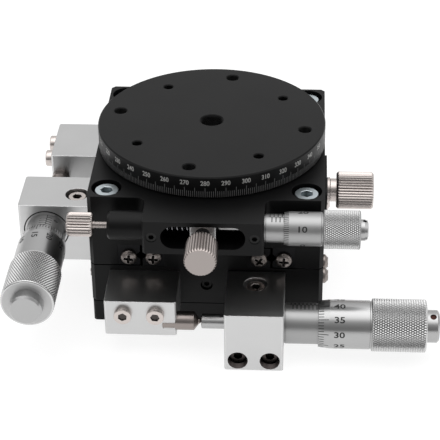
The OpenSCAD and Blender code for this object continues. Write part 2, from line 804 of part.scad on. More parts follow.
module sleeve() {
    inside = spindle_d / 2 + run_fit;
    r = sleeve_d / 2;
    color(satin_chrome) translate([0, -mic_y, mic_z]) turned_x([[inside, block_x], [stem_d / 2, block_x],
        [stem_d / 2, block_end], [r - 2 * step_c, block_end], [r - 2 * step_c, block_end + 2 * step_c],
        [r, block_end + 2 * step_c], [r, block_end + sleeve_l], [inside, block_end + sleeve_l]]);
}

// mic_in moves the spindle and thimble towards the anvil
module spindle(mic_in) {
    r = spindle_d / 2;
    tip = tip_x - mic_in;
    tail = thimble_cavity_end(mic_in) + spindle_in_wall;
    color(satin_chrome) translate([0, -mic_y, mic_z]) turned_x([[0, tip], [r - step_c, tip],
        [r, tip + step_c], [r, tail], [0, tail]]);
}

function thimble_x(mic_in) = block_end + thimble_start - mic_in;
function thimble_end(mic_in) = thimble_x(mic_in) + thimble_plain_l + grip_l;
function thimble_cavity_end(mic_in) = thimble_end(mic_in) - thimble_wall;

module thimble(mic_in) {
    bore = sleeve_d / 2 + thimble_fit;
    r = thimble_d / 2;
    g = grip_d / 2;
    x0 = thimble_x(mic_in);
    grip_x = x0 + thimble_plain_l;
    x1 = thimble_end(mic_in);
    cavity = thimble_cavity_end(mic_in);
    stem_x = x1 - cap_stem_l - step_c;
    color(satin_chrome) translate([0, -mic_y, mic_z]) turned_x([[bore, x0], [bore + thimble_lip, x0],
        [r, x0 + bevel_l], [r, grip_x], [(r + g) / 2, grip_x], [g, grip_x + (g - r) / 2], [g, x1 - grip_c],
        [g - grip_c, x1], [cap_stem_d / 2 + run_fit, x1], [cap_stem_d / 2 + run_fit, stem_x],
        [spindle_d / 2 + run_fit, stem_x], [spindle_d / 2 + run_fit, cavity], [bore, cavity]]);
}

module thimble_cap(mic_in, turn) {
    x1 = thimble_end(mic_in);
    x2 = x1 + cap_l;
    r = cap_d / 2;
    color(satin_chrome) translate([0, -mic_y, mic_z]) difference() {
        turned_x([[0, x1 - cap_stem_l], [cap_stem_d / 2, x1 - cap_stem_l], [cap_stem_d / 2, x1], [r, x1],
            [r, x2 - grip_c], [r - grip_c, x2], [0, x2]]);
        translate([x2 - cap_l / 2, 0, 0]) rotate([turn, 0, 0]) cylinder(d = cap_hole_d, h = r + over);
    }
}

// anvil block on the carriage, with its screws and pin
module anvil_block(out) {
    front = side + anvil_reach + out;
    far = anvil_x + anvil_w;
    color(clear_anodised) difference() {
        translate([0, 0, slab_t]) linear_extrude(anvil_h) polygon([[-anvil_x, -side],
            [-anvil_x, block_c - front], [-anvil_x - block_c, -front], [block_c - far, -front],
            [-far, block_c - front], [-far, -side]]);
        for (x = anvil_screw_places()) translate([x, -side, anvil_screw_z]) rotate([90, 0, 0])
            translate([0, 0, -over]) cylinder(d = m25_d + 2 * screw_fit, h = anvil_reach + out + 2 * over);
        translate([-anvil_x - anvil_seat, -mic_y - out, mic_z]) rotate([0, 90, 0])
            cylinder(d = anvil_pin_d, h = anvil_seat + over);
    }
}

function anvil_screw_places() = [-anvil_x - anvil_screw_x, -anvil_x - anvil_screw_x - anvil_screw_pitch];

module anvil_screws(out) {
    reach = anvil_reach + out;
    color(warm_nickel) for (x = anvil_screw_places()) translate([x, -side - reach, anvil_screw_z])
        rotate([90, 0, 0]) socket_screw(m25_d, m25_head_d, m25_head_h, reach + block_hole_l - layer_gap);
}

module anvil_screw_holes() {
    for (x = anvil_screw_places()) translate([x, block_hole_l - side, anvil_screw_z])
        rotate([90, 0, 0]) cylinder(d = m25_d + 2 * screw_fit, h = block_hole_l + over);
}

module anvil_pin(mic_in) {
    ball_r = anvil_ball_d / 2;
    tip = tip_x - mic_in - touch;
    cone_end = tip - ball_r;
    r = anvil_pin_d / 2;
    back = -anvil_x - anvil_seat;
    color(warm_nickel) translate([0, -mic_y, mic_z]) {
        turned_x([[0, back], [r, back], [r, cone_end - anvil_cone_l], [anvil_tip_d / 2, cone_end], [0, cone_end]]);
        translate([cone_end, 0, 0]) sphere(r = ball_r);
    }
}

// slide lock on the far side of the unit: a slotted plate and a knurled knob
module plate_outline(low, high) {
    r = lock_plate_r;
    w = lock_plate_w / 2;
    translate([-w, low + r]) square([2 * w, high - low - 2 * r]);
    translate([r - w, low]) square([2 * (w - r), high - low]);
    for (x = [r - w, w - r], y = [low + r, high - r]) translate([x, y]) circle(r = r);
}

module lock_plate(seat) {
    out = side + lock_plate_t;
    color(black_anodised) difference() {
        translate([0, out, 0]) rotate([90, 0, 0]) linear_extrude(out - seat)
            plate_outline(lock_plate_low, lock_plate_high);
        translate([-lock_plate_w, seat - over, slab_t])
            cube([2 * lock_plate_w, side + lock_relief - seat + over, lock_plate_high]);
        translate([lock_slot_half - lock_slot_h / 2, side, lock_z]) rotate([-90, 0, 0])
            cylinder(d = lock_slot_h, h = lock_plate_t + over);
        translate([lock_slot_h / 2 - lock_slot_half, side, lock_z]) rotate([-90, 0, 0])
            cylinder(d = lock_slot_h, h = lock_plate_t + over);
        translate([lock_slot_h / 2 - lock_slot_half, side, lock_z - lock_slot_h / 2])
            cube([2 * lock_slot_half - lock_slot_h, lock_plate_t + over, lock_slot_h]);
        both_x() translate([lock_screw_pitch / 2, seat - over, lock_screw_z]) rotate([-90, 0, 0])
            cylinder(d = m2_d + 2 * screw_fit, h = out - seat + 2 * over);
    }
}

module lock_plate_screws(seat) {
    l = side + lock_plate_t - seat + lock_screw_l;
    color(warm_nickel) both_x() translate([lock_screw_pitch / 2, side + lock_plate_t, lock_screw_z])
        rotate([-90, 0, 0]) pan_screw(m2_d, m2_head_d, m2_head_h, l);
}

module lock_plate_screw_holes() {
    both_x() translate([lock_screw_pitch / 2, side - lock_screw_l - over, lock_screw_z]) rotate([-90, 0, 0])
        cylinder(d = m2_d + 2 * screw_fit, h = lock_screw_l + 2 * over);
}

// the same tapped hole is on the near side, so the lock can change sides
module lock_stud_holes() {
    both_y() translate([0, side - lock_stud_in - step_c, lock_z]) rotate([-90, 0, 0])
        cylinder(d = lock_stud_d + 2 * run_fit, h = lock_stud_in + step_c + over);
}

module lock_knob() {
    flange_y = side + lock_plate_t + lock_gap;
    neck_y = flange_y + lock_flange_t;
    knob_y = neck_y + lock_neck_l;
    color(warm_nickel) translate([0, 0, lock_z]) rotate([-90, 0, 0]) {
        translate([0, 0, side - lock_stud_in]) cylinder(d = lock_stud_d, h = neck_y - side + lock_stud_in);
        translate([0, 0, flange_y]) cylinder(d = lock_flange_d, h = lock_flange_t);
        translate([0, 0, neck_y - step_c]) cylinder(d = lock_neck_d, h = lock_neck_l + 2 * step_c);
        translate([0, 0, knob_y]) ridged_grip(lock_knob_d, lock_knob_l, lock_knob_ridges);
    }
}

// the three slide bodies
module base_plate() {
    color(black_anodised) {
        difference() {
            union() {
                linear_extrude(slab_t) rounded_square(base_w, base_corner_r);
                ridge(base_w);
            }
            spring_groove();
            inner_rail_screw_rooms();
            block_screw_holes();
            lock_plate_screw_holes();
            for (x = [-1, 1], y = [-1, 1])
                translate([x * base_hole_pitch / 2, y * base_hole_pitch / 2, -over])
                    cylinder(d = tapped_m4_d, h = slab_t + 2 * over);
        }
        fixed_post();
    }
}

module middle_plate() {
    color(black_anodised) {
        difference() {
            union() {
                translate([0, 0, mid_z]) linear_extrude(plate_t) chamfered_square(body_w, edge_c);
                upper_unit() ridge(body_w);
            }
            rail_pocket();
            outer_rail_screw_rooms();
            anvil_screw_holes();
            lock_stud_holes();
            upper_unit() {
                spring_groove();
                inner_rail_screw_rooms();
                lifted() block_screw_holes();
                lock_plate_screw_holes();
            }
        }
        moving_post();
        upper_unit() fixed_post();
    }
}

module corner_places() {
    for (x = [-1, 1], y = [-1, 1]) translate([x * corner_pitch / 2, y * corner_pitch / 2, corner_seat_z])
        children();
}

module y_top_plate() {
    color(black_anodised) {
        difference() {
            upper_unit() difference() {
                translate([0, 0, mid_z]) linear_extrude(plate_t) chamfered_square(body_w, edge_c);
                rail_pocket();
                outer_rail_screw_rooms();
                lifted() anvil_screw_holes();
                lock_stud_holes();
            }
            corner_places() translate([0, 0, -corner_len - step_c])
                cylinder(d = m4_d + 2 * screw_fit, h = corner_len + 2 * step_c);
        }
        upper_unit() moving_post();
    }
}

// rotary base: a square block with a slotted nose in front
module nose_outline() {
    c = edge_c / 2;
    polygon([[-nose_half_w, 0], [nose_half_w, 0], [nose_half_w, c - nose_front], [nose_half_w - c, -nose_front],
        [c - nose_half_w, -nose_front], [-nose_half_w, c - nose_front]]);
}

module nose_fillets() {
    r = nose_fillet;
    both_x() difference() {
        translate([nose_half_w - edge_c, -side - r, rotary_z]) cube([r + edge_c, r + edge_c, rotary_t]);
        translate([nose_half_w + r, -side - r, rotary_z - over]) cylinder(r = r, h = rotary_t + 2 * over);
    }
}

module rotary_base() {
    color(black_anodised) difference() {
        union() {
            translate([0, 0, rotary_z]) linear_extrude(rotary_t) chamfered_square(body_w, edge_c);
            translate([0, 0, rotary_z]) linear_extrude(rotary_t) nose_outline();
            nose_fillets();
        }
        difference() {
            translate([0, 0, floor_z]) cylinder(r = cavity_r, h = rotary_t);
            translate([0, 0, rotary_z]) cylinder(d = spigot_shoulder_d, h = bearing_z - rotary_z);
            translate([0, 0, rotary_z]) rotate_extrude() polygon([[0, 0], [bearing_bore / 2, 0],
                [bearing_bore / 2, bearing_top - rotary_z],
                [bearing_bore / 2 - snap_depth, bearing_top - rotary_z],
                [bearing_bore / 2 - snap_depth, bearing_top + snap_w - rotary_z],
                [bearing_bore / 2, bearing_top + snap_w - rotary_z],
                [bearing_bore / 2, spigot_top - rotary_z], [0, spigot_top - rotary_z]]);
        }
        translate([0, 0, floor_z]) cylinder(d = room_d, h = rotary_t);
        lever_slot();
        both_x() translate([nose_half_w, -fine_y, fine_z]) rotate([0, -90, 0])
            translate([0, 0, -over]) cylinder(d = fine_stem_d + 2 * run_fit, h = nose_half_w - slot_half_w + 2 * over);
        both_x() translate([(nose_half_w + slot_half_w) / 2, -fine_y, fine_z]) rotate([90, 0, 0])
            cylinder(d = set_screw_d + 2 * screw_fit, h = nose_front - fine_y + over);
        corner_places() screw_room(m4_d, corner_bore_d, corner_bore_depth + over, rotary_t);
    }
}

module lever_slot() {
    r = slot_h / 2;
    deep = nose_front - ring_d / 2 + 2 * over;
    translate([0, -ring_d / 2 + over, floor_z + r]) rotate([90, 0, 0]) {
        both_x() translate([slot_half_w - r, 0, 0]) cylinder(r = r, h = deep);
        translate([r - slot_half_w, -r, 0]) cube([2 * (slot_half_w - r), slot_h, deep]);
    }
}

module corner_screws() {
    color(blue_zinc) corner_places() socket_screw(m4_d, m4_head_d, m4_head_h, corner_len);
}

module nose_set_screws() {
    l = nose_front - fine_y - fine_stem_d / 2 - 2 * run_fit - step_c;
    color(warm_nickel) both_x() translate([(nose_half_w + slot_half_w) / 2, step_c - nose_front, fine_z])
        rotate([-90, 0, 0]) difference() {
            cylinder(d = set_screw_d, h = l);
            translate([0, 0, -over]) cylinder(d = set_screw_hex, h = over + l / 2, $fn = 6);
        }
}

// table bearing
module race_cut() {
    translate([0, 0, bearing_z + bearing_w / 2]) rotate_extrude() translate([ball_r_pitch, 0])
        circle(r = ball_d / 2 + ball_fit);
}

module bearing_ring(d_in, d_out) {
    translate([0, 0, bearing_z]) rotate_extrude()
        polygon([[d_in / 2, 0], [d_out / 2, 0], [d_out / 2, bearing_w], [d_in / 2, bearing_w]]);
}

module bearing_inner_ring() {
    color(rail_steel) difference() {
        bearing_ring(bearing_bore, bearing_bore + 2 * race_t);
        race_cut();
    }
}

module bearing_outer_ring() {
    color(rail_steel) difference() {
        bearing_ring(bearing_d - 2 * race_t, bearing_d);
        race_cut();
    }
}

module bearing_balls() {
    color(rail_steel) for (i = [0 : ball_count - 1]) rotate([0, 0, 360 * i / ball_count])
        translate([ball_r_pitch, 0, bearing_z + bearing_w / 2]) sphere(d = ball_d);
}

module retaining_ring() {
    gap_w = 3;
    color(spring_steel) translate([0, 0, bearing_top]) difference() {
        cylinder(d = bearing_bore + race_t, h = snap_w);
        translate([0, 0, -over]) cylinder(d = bearing_bore - 2 * snap_depth, h = snap_w + 2 * over);
        translate([-gap_w / 2, 0, -over]) cube([gap_w, bearing_bore, snap_w + 2 * over]);
    }
}

// table, with its hub round the bearing
module tapped_hole(d) {
    translate([0, 0, table_z - over]) cylinder(d = d, h = table_t + 2 * over);
    translate([0, 0, table_top - mouth_c]) cylinder(d1 = d, d2 = d + 2 * mouth_c + 2 * step_c, h = mouth_c + step_c);
}

module rotary_table() {
    r = table_d / 2;
    hole_r = centre_hole_d / 2;
    color(black_anodised) difference() {
        rotate_extrude() polygon([[hole_r + mouth_c, table_top], [r - table_c, table_top], [r, table_top - table_c],
            [r, table_z], [shoulder_d / 2, table_z], [shoulder_d / 2, shoulder_z], [hub_d / 2, shoulder_z],
            [hub_d / 2, hub_low], [bearing_d / 2, hub_low], [bearing_d / 2, bearing_top],
            [hub_bore_d / 2, bearing_top], [hub_bore_d / 2, table_z], [hole_r, table_z],
            [hole_r, table_top - mouth_c]]);
        for (k = [0 : 3]) rotate([0, 0, table_angle + 90 * k]) {
            translate([large_pcd / 2, 0, 0]) tapped_hole(tapped_m4_d);
            rotate([0, 0, small_turn]) translate([small_r, 0, 0]) tapped_hole(small_hole_d);
        }
    }
}

// clamp ring round the hub, with the lever that the fine drive moves
module clamp_ring() {
    color(rail_steel) difference() {
        translate([0, 0, ring_low]) cylinder(d = ring_d, h = ring_high - ring_low);
        translate([0, 0, ring_low - over]) cylinder(d = hub_d + 2 * run_fit, h = ring_high - ring_low + 2 * over);
        translate([-lever_w / 2 - run_fit, -ring_flat - ring_d, ring_low - over])
            cube([lever_w + 2 * run_fit, ring_d, ring_high - ring_low + 2 * over]);
        translate([-tenon_w / 2 - screw_fit, -ring_flat - over, fine_z - tenon_w / 2 - screw_fit])
            cube([tenon_w + 2 * screw_fit, tenon_l + over, tenon_w + 2 * screw_fit]);
        translate([0, 0, fine_z]) rotate([90, 0, 0]) cylinder(d = clamp_stud_d + 2 * run_fit, h = ring_flat);
    }
}

module lever_block() {
    color(clear_anodised) difference() {
        union() {
            translate([-lever_w / 2, -lever_front, ring_low])
                cube([lever_w, lever_front - ring_flat, ring_high - ring_low]);
            translate([-tenon_w / 2, -ring_flat - step_c, fine_z - tenon_w / 2])
                cube([tenon_w, tenon_l + step_c, tenon_w]);
        }
        translate([0, 0, fine_z]) rotate([90, 0, 0]) cylinder(d = clamp_stud_d + 2 * run_fit, h = lever_front + over);
    }
}

module clamp_pad() {
    inner = hub_d / 2 + run_fit;
    color(cage_brass) translate([0, -inner, fine_z]) rotate([90, 0, 0])
        cylinder(d = clamp_stud_d, h = tenon_end - inner);
}

module clamp_thumb_screw() {
    neck_y = lever_front + run_fit;
    knob_y = lever_front + front_neck_l;
    color(warm_nickel) translate([0, 0, fine_z]) rotate([90, 0, 0]) {
        translate([0, 0, tenon_end + touch]) cylinder(d = clamp_stud_d, h = knob_y - tenon_end);
        translate([0, 0, neck_y]) cylinder(d = front_neck_d, h = knob_y - neck_y + step_c);
        translate([0, 0, knob_y]) ridged_grip(front_knob_d, front_knob_l, front_knob_ridges);
    }
}

// fine drive: a small micrometer head pushes the lever from the right
module fine_sleeve() {
    inside = fine_spindle_d / 2 + run_fit;
    end = nose_half_w + fine_sleeve_l;
    color(satin_chrome) translate([0, -fine_y, fine_z]) turned_x([[inside, slot_half_w],
        [fine_stem_d / 2, slot_half_w], [fine_stem_d / 2, nose_half_w], [fine_sleeve_d / 2, nose_half_w],
        [fine_sleeve_d / 2, end], [inside, end]]);
}

module fine_spindle() {
    r = fine_spindle_d / 2;
    ball_x = fine_tip_x + r;
    tail = fine_end_x - fine_wall + fine_in_wall;
    color(satin_chrome) translate([0, -fine_y, fine_z]) {
        translate([ball_x, 0, 0]) sphere(r = r);
        translate([ball_x, 0, 0]) rotate([0, 90, 0]) cylinder(r = r, h = tail - ball_x);
    }
}

module fine_thimble() {
    bore = fine_sleeve_d / 2 + thimble_fit;
    r = fine_thimble_d / 2;
    g = fine_grip_d / 2;
    cavity = fine_end_x - fine_wall;
    stem_x = fine_end_x - fine_cap_stem_l - step_c;
    color(satin_chrome) translate([0, -fine_y, fine_z]) turned_x([[bore, fine_thimble_x],
        [bore + thimble_lip, fine_thimble_x], [r, fine_thimble_x + fine_bevel_l], [r, fine_grip_x],
        [g - step_c, fine_grip_x], [g, fine_grip_x + step_c], [g, fine_end_x - grip_c], [g - grip_c, fine_end_x],
        [fine_cap_stem_d / 2 + run_fit, fine_end_x], [fine_cap_stem_d / 2 + run_fit, stem_x],
        [fine_spindle_d / 2 + run_fit, stem_x], [fine_spindle_d / 2 + run_fit, cavity], [bore, cavity]]);
}

module fine_thimble_cap() {
    r = fine_cap_d / 2;
    x1 = fine_end_x;
    x2 = x1 + fine_cap_l;
    color(satin_chrome) translate([0, -fine_y, fine_z]) difference() {
        turned_x([[0, x1 - fine_cap_stem_l], [fine_cap_stem_d / 2, x1 - fine_cap_stem_l],
            [fine_cap_stem_d / 2, x1], [r, x1], [r, x2 - 2 * grip_c], [r - grip_c / 2, x2 - grip_c / 2],
            [r - 2 * grip_c, x2], [0, x2]]);
        translate([(x1 + x2) / 2, 0, 0]) cylinder(d = fine_cap_hole_d, h = r + over);
    }
}

// spring plunger on the left: it keeps the lever on the spindle
lever_pitch = (lever_spring_l - lever_wire_d - 2 * touch) / lever_curls;
lever_turns = [for (k = [0 : 8 * lever_curls]) k / 8];
lever_coil = [for (t = lever_turns) [lever_pitch * (t - lever_curls / 2),
    (lever_coil_d - lever_wire_d) / 2 * cos(360 * t), (lever_coil_d - lever_wire_d) / 2 * sin(360 * t)]];
echo(lever_spring_gap = least_gap(lever_coil, 5, lever_wire_d));

module lever_spring() {
    color(spring_steel) translate([-(seat_x + lever_w / 2) / 2, -fine_y, fine_z])
        wire(lever_coil, lever_turns, lever_wire_d);
}

module plunger_boss() {
    end = nose_half_w + boss_l;
    bore_end = nose_half_w + boss_bore_l;
    color(black_anodised) translate([0, -fine_y, fine_z]) mirror([1, 0, 0]) turned_x([
        [boss_bore / 2, slot_half_w], [fine_stem_d / 2, slot_half_w], [fine_stem_d / 2, nose_half_w],
        [boss_d / 2, nose_half_w], [boss_d / 2, end - boss_c], [boss_d / 2 - boss_c, end],
        [plunger_d / 2 + run_fit, end], [plunger_d / 2 + run_fit, bore_end], [boss_bore / 2, bore_end]]);
}

module plunger_thumb_screw() {
    knob_x = nose_half_w + boss_l + side_neck_l;
    color(warm_nickel) translate([0, -fine_y, fine_z]) rotate([0, -90, 0]) {
        translate([0, 0, seat_x]) cylinder(d = plunger_seat_d, h = plunger_seat_t);
        translate([0, 0, seat_x]) cylinder(d = plunger_d, h = knob_x - seat_x + step_c);
        translate([0, 0, knob_x]) ridged_grip(side_knob_d, side_knob_l, side_knob_ridges);
    }
}

base_plate();
inner_rails();  // x_inner_rails
outer_rails();  // x_outer_rails
roller_cages();  // x_roller_cages
rollers();  // x_rollers
inner_rail_screws();  // x_inner_rail_screws
outer_rail_screws();  // x_outer_rail_screws
return_spring();  // x_return_spring
micrometer_block(side - base_inset, 0, block_reach, 0, 0);  // x_micrometer_block
block_screws(block_reach, 0);  // x_block_screws
sleeve();  // x_sleeve
spindle(0);  // x_spindle
thimble(0);  // x_thimble
thimble_cap(0, cap_hole_turn);  // x_thimble_cap
anvil_block(0);  // x_anvil_block
anvil_screws(0);  // x_anvil_screws
anvil_pin(0);  // x_anvil_pin
lock_plate(side - base_inset);  // x_lock_plate
lock_plate_screws(side);  // x_lock_plate_screws
lock_knob();  // x_lock_knob
middle_plate();
upper_unit() inner_rails();  // y_inner_rails
upper_unit() outer_rails();  // y_outer_rails
upper_unit() roller_cages();  // y_roller_cages
upper_unit() rollers();  // y_rollers
upper_unit() inner_rail_screws();  // y_inner_rail_screws
upper_unit() outer_rail_screws();  // y_outer_rail_screws
upper_unit() return_spring();  // y_return_spring
upper_unit()  // y_micrometer_block
    micrometer_block(side, upper_lift, upper_block_reach, upper_out, upper_clamp_shift);
upper_unit() lifted()  // y_block_screws
    block_screws(upper_block_reach, upper_clamp_shift);
upper_unit() head_place() sleeve();  // y_sleeve
upper_unit() head_place() spindle(upper_mic_in);  // y_spindle
upper_unit() head_place() thimble(upper_mic_in);  // y_thimble
upper_unit() head_place()  // y_thimble_cap
    thimble_cap(upper_mic_in, cap_hole_turn + 180);
upper_unit() lifted() anvil_block(upper_out);  // y_anvil_block
upper_unit() lifted() anvil_screws(upper_out);  // y_anvil_screws
upper_unit() head_place() anvil_pin(upper_mic_in);  // y_anvil_pin
upper_unit() lock_plate(side);  // y_lock_plate
upper_unit() lock_plate_screws(side);  // y_lock_plate_screws
upper_unit() lock_knob();  // y_lock_knob
y_top_plate();
rotary_base();
corner_screws();
nose_set_screws();
bearing_inner_ring();
bearing_balls();
bearing_outer_ring();
retaining_ring();
rotary_table();
clamp_ring();
lever_block();
clamp_pad();
clamp_thumb_screw();
fine_sleeve();
fine_spindle();
fine_thimble();
fine_thimble_cap();
lever_spring();
plunger_boss();
plunger_thumb_screw();
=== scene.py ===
import bmesh
import bpy
import json
import math
import numpy as np
from mathutils import Matrix, Vector


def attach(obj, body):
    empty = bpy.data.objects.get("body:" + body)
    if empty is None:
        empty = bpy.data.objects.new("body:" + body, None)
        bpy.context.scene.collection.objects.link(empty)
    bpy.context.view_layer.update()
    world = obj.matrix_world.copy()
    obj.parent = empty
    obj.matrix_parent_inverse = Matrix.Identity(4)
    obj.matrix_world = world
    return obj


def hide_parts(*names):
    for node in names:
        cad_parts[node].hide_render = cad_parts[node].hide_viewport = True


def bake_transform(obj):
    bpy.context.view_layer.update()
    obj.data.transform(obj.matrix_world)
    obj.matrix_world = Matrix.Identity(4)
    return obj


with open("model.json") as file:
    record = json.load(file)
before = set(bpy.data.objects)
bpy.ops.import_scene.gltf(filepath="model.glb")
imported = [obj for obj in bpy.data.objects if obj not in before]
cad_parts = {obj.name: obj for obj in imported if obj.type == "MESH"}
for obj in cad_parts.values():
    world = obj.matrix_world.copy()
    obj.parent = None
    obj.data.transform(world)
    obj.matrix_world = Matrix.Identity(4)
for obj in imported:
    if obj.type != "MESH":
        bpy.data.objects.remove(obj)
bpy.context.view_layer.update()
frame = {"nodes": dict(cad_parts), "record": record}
nodes = frame["nodes"]
mm = 0.001
print("frame loaded,", len(nodes), "nodes")


# Working axes
# origin lies on the axis, out points where an angle of 0 does, up where 90 degrees does, and along runs
# down the axis, to a cap or a knob's end face

def axisFrame(origin, out, up, along):
    return {"origin": np.array(origin, float), "out": np.array(out, float),
            "up": np.array(up, float), "along": np.array(along, float)}


xHead = axisFrame((0, -42, 9.05), (0, -1, 0), (0, 0, 1), (1, 0, 0))
yHead = axisFrame((-42.5, 0, 21.4), (-1, 0, 0), (0, 0, 1), (0, -1, 0))
fineHead = axisFrame((0, -36, 33.5), (0, -1, 0), (0, 0, 1), (1, 0, 0))
plungerAxis = axisFrame((0, -36, 33.5), (0, -1, 0), (0, 0, 1), (-1, 0, 0))
frontAxis = axisFrame((0, 0, 33.5), (1, 0, 0), (0, 0, 1), (0, -1, 0))
xLockAxis = axisFrame((0, 0, 11.85), (1, 0, 0), (0, 0, 1), (0, 1, 0))
yLockAxis = axisFrame((0, 0, 23.25), (0, 1, 0), (0, 0, 1), (1, 0, 0))
tableAxis = axisFrame((0, 0, 0), (1, 0, 0), (0, 1, 0), (0, 0, 1))


def toWorld(axis, radius, angle, along):
    # point = origin + radius * (cos angle * out + sin angle * up) + along * the axis
    radius, angle, along = np.broadcast_arrays(radius, angle, along)
    return (axis["origin"] + (radius * np.cos(angle))[..., None] * axis["out"]
            + (radius * np.sin(angle))[..., None] * axis["up"] + along[..., None] * axis["along"])


def axisPlaces(axis, points):
    # how far points lie along the axis, and how far from it
    away = points - axis["origin"]
    along = away @ axis["along"]
    return along, np.linalg.norm(away - along[:, None] * axis["along"], axis=1)


def turnsRight(axis):
    return np.dot(np.cross(axis["out"], axis["up"]), axis["along"]) > 0


# Meshes from grids

def gridFaces(rows, cols, wrap):
    # quads of a grid whose rows follow the profile and whose columns go round
    r = np.arange(rows - 1)[:, None]
    c = np.arange(cols if wrap else cols - 1)[None, :]
    a, b = r * cols + c, r * cols + (c + 1) % cols
    return np.stack([a, b, b + cols, a + cols], -1).reshape(-1, 4)


def joined(parts):
    # several parts as one, each part's faces counted on from the last; a part is (points, faces), and may
    # have a third list, shade, which is 1 deep in a groove or recess and 0 on the surface
    points, faces, shade, start = [], [], [], 0
    for part in parts:
        p = np.asarray(part[0], float).reshape(-1, 3)
        points.append(p)
        faces.extend((np.asarray(part[1]) + start).tolist() if len(part[1]) else [])
        shade.append(part[2] if len(part) > 2 else np.zeros(len(p)))
        start += len(p)
    return np.concatenate(points), faces, np.concatenate(shade)


def turned(axis, profile, segments=96, ridge=None, closed=False, shade=None):
    # radius and place along the axis come from the profile, and the angle runs once round; ridge(radius,
    # angle, along) may change the radius, and shade(radius, angle, along) says where grooves are
    profile = np.array(profile, float)
    if closed:
        profile = np.concatenate([profile, profile[:1]])
    angle = np.linspace(0, 2 * np.pi, segments, endpoint=False)[None, :]
    r, s = profile[:, :1] + 0 * angle, profile[:, 1:] + 0 * angle
    if ridge is not None:
        r = ridge(r, angle, s)
    points = toWorld(axis, r, angle, s)
    faces = gridFaces(len(profile), segments, True)
    if not turnsRight(axis):
        faces = faces[:, ::-1]
    if shade is None:
        return points.reshape(-1, 3), faces
    return points.reshape(-1, 3), faces, shade(r, angle, s).reshape(-1)


soften = {"shareOfFace": 0.4, "longFace": 6, "support": 2.2}


def softened(corners, bevel):
    # each corner of a profile of [radius, place] is cut by a small bevel; on a long face a further point
    # beside the bevel keeps the face shaded as flat as it is
    out = []
    n = len(corners)
    for i, c in enumerate(corners):
        p = np.array(c[:2], float)
        if i in (0, n - 1):
            out.append(p)
            continue
        before, after = (np.array(q[:2], float) - p for q in (corners[i - 1], corners[(i + 1) % n]))
        sizes = [np.linalg.norm(d) for d in (before, after)]
        near, far = (min(bevel, size * soften["shareOfFace"]) for size in sizes)
        cut = [p + before / sizes[0] * near, p + after / sizes[1] * far]
        if sizes[0] > soften["longFace"] * bevel:
            cut.insert(0, p + before / sizes[0] * soften["support"] * bevel)
        if sizes[1] > soften["longFace"] * bevel:
            cut.append(p + after / sizes[1] * soften["support"] * bevel)
        out += cut
    return out


def furtherFinishes(obj, choices):
    # faces whose middle, in mm, chosen() picks take another finish, and later choices win
    middles = np.zeros(len(obj.data.polygons) * 3)
    obj.data.polygons.foreach_get("center", middles)
    index = np.zeros(len(obj.data.polygons), np.int32)
    for material, chosen in choices:
        obj.data.materials.append(material)
        index[chosen(middles.reshape(-1, 3) / mm)] = len(obj.data.materials) - 1
    obj.data.polygons.foreach_set("material_index", index)


def newPiece(name, mesh, body, material, replaced=(), sharp=32, clean=True):
    # a mesh in mm becomes an object in metres, and is attached to its body when one is given
    points, faces = mesh[:2]
    data = bpy.data.meshes.new(name)
    data.from_pydata((np.asarray(points) * mm).tolist(), [], [list(f) for f in faces])
    if len(mesh) > 2:
        layer = data.attributes.new("shade", "FLOAT", "POINT")
        layer.data.foreach_set("value", np.asarray(mesh[2], np.float32))
    if clean:  # poles and seams are closed, and flat quads at a pole become triangles
        work = bmesh.new()
        work.from_mesh(data)
        bmesh.ops.remove_doubles(work, verts=work.verts, dist=1e-7)
        bmesh.ops.dissolve_degenerate(work, edges=work.edges, dist=1e-8)
        work.to_mesh(data)
        work.free()
    data.polygons.foreach_set("use_smooth", np.ones(len(data.polygons), bool))
    data.set_sharp_from_angle(angle=math.radians(sharp))
    data.materials.append(material)
    obj = bpy.data.objects.new(name, data)
    bpy.context.scene.collection.objects.link(obj)
    if body:
        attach(obj, body)
    if replaced:
        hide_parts(*replaced)
    return obj


# Finishes
# a finish says only where it differs from the usual one; at its edges a surface turns towards an edge
# colour, partly real wear and partly a painted highlight, edge is their width in mm and the share how far
# they take it, and shade how dark the painted shade in a groove or recess is
usualFinish = {"metallic": 1.0, "spread": 0.06, "grain": (1500, 1500, 1500), "bump": 0.05, "edge": 0.05,
               "specular": 0.5, "worn": 0.55}
chrome = {"spread": 0.04, "grain": (2200, 2200, 2200), "bump": 0.03}


def grey(value):
    return (value, value, value)


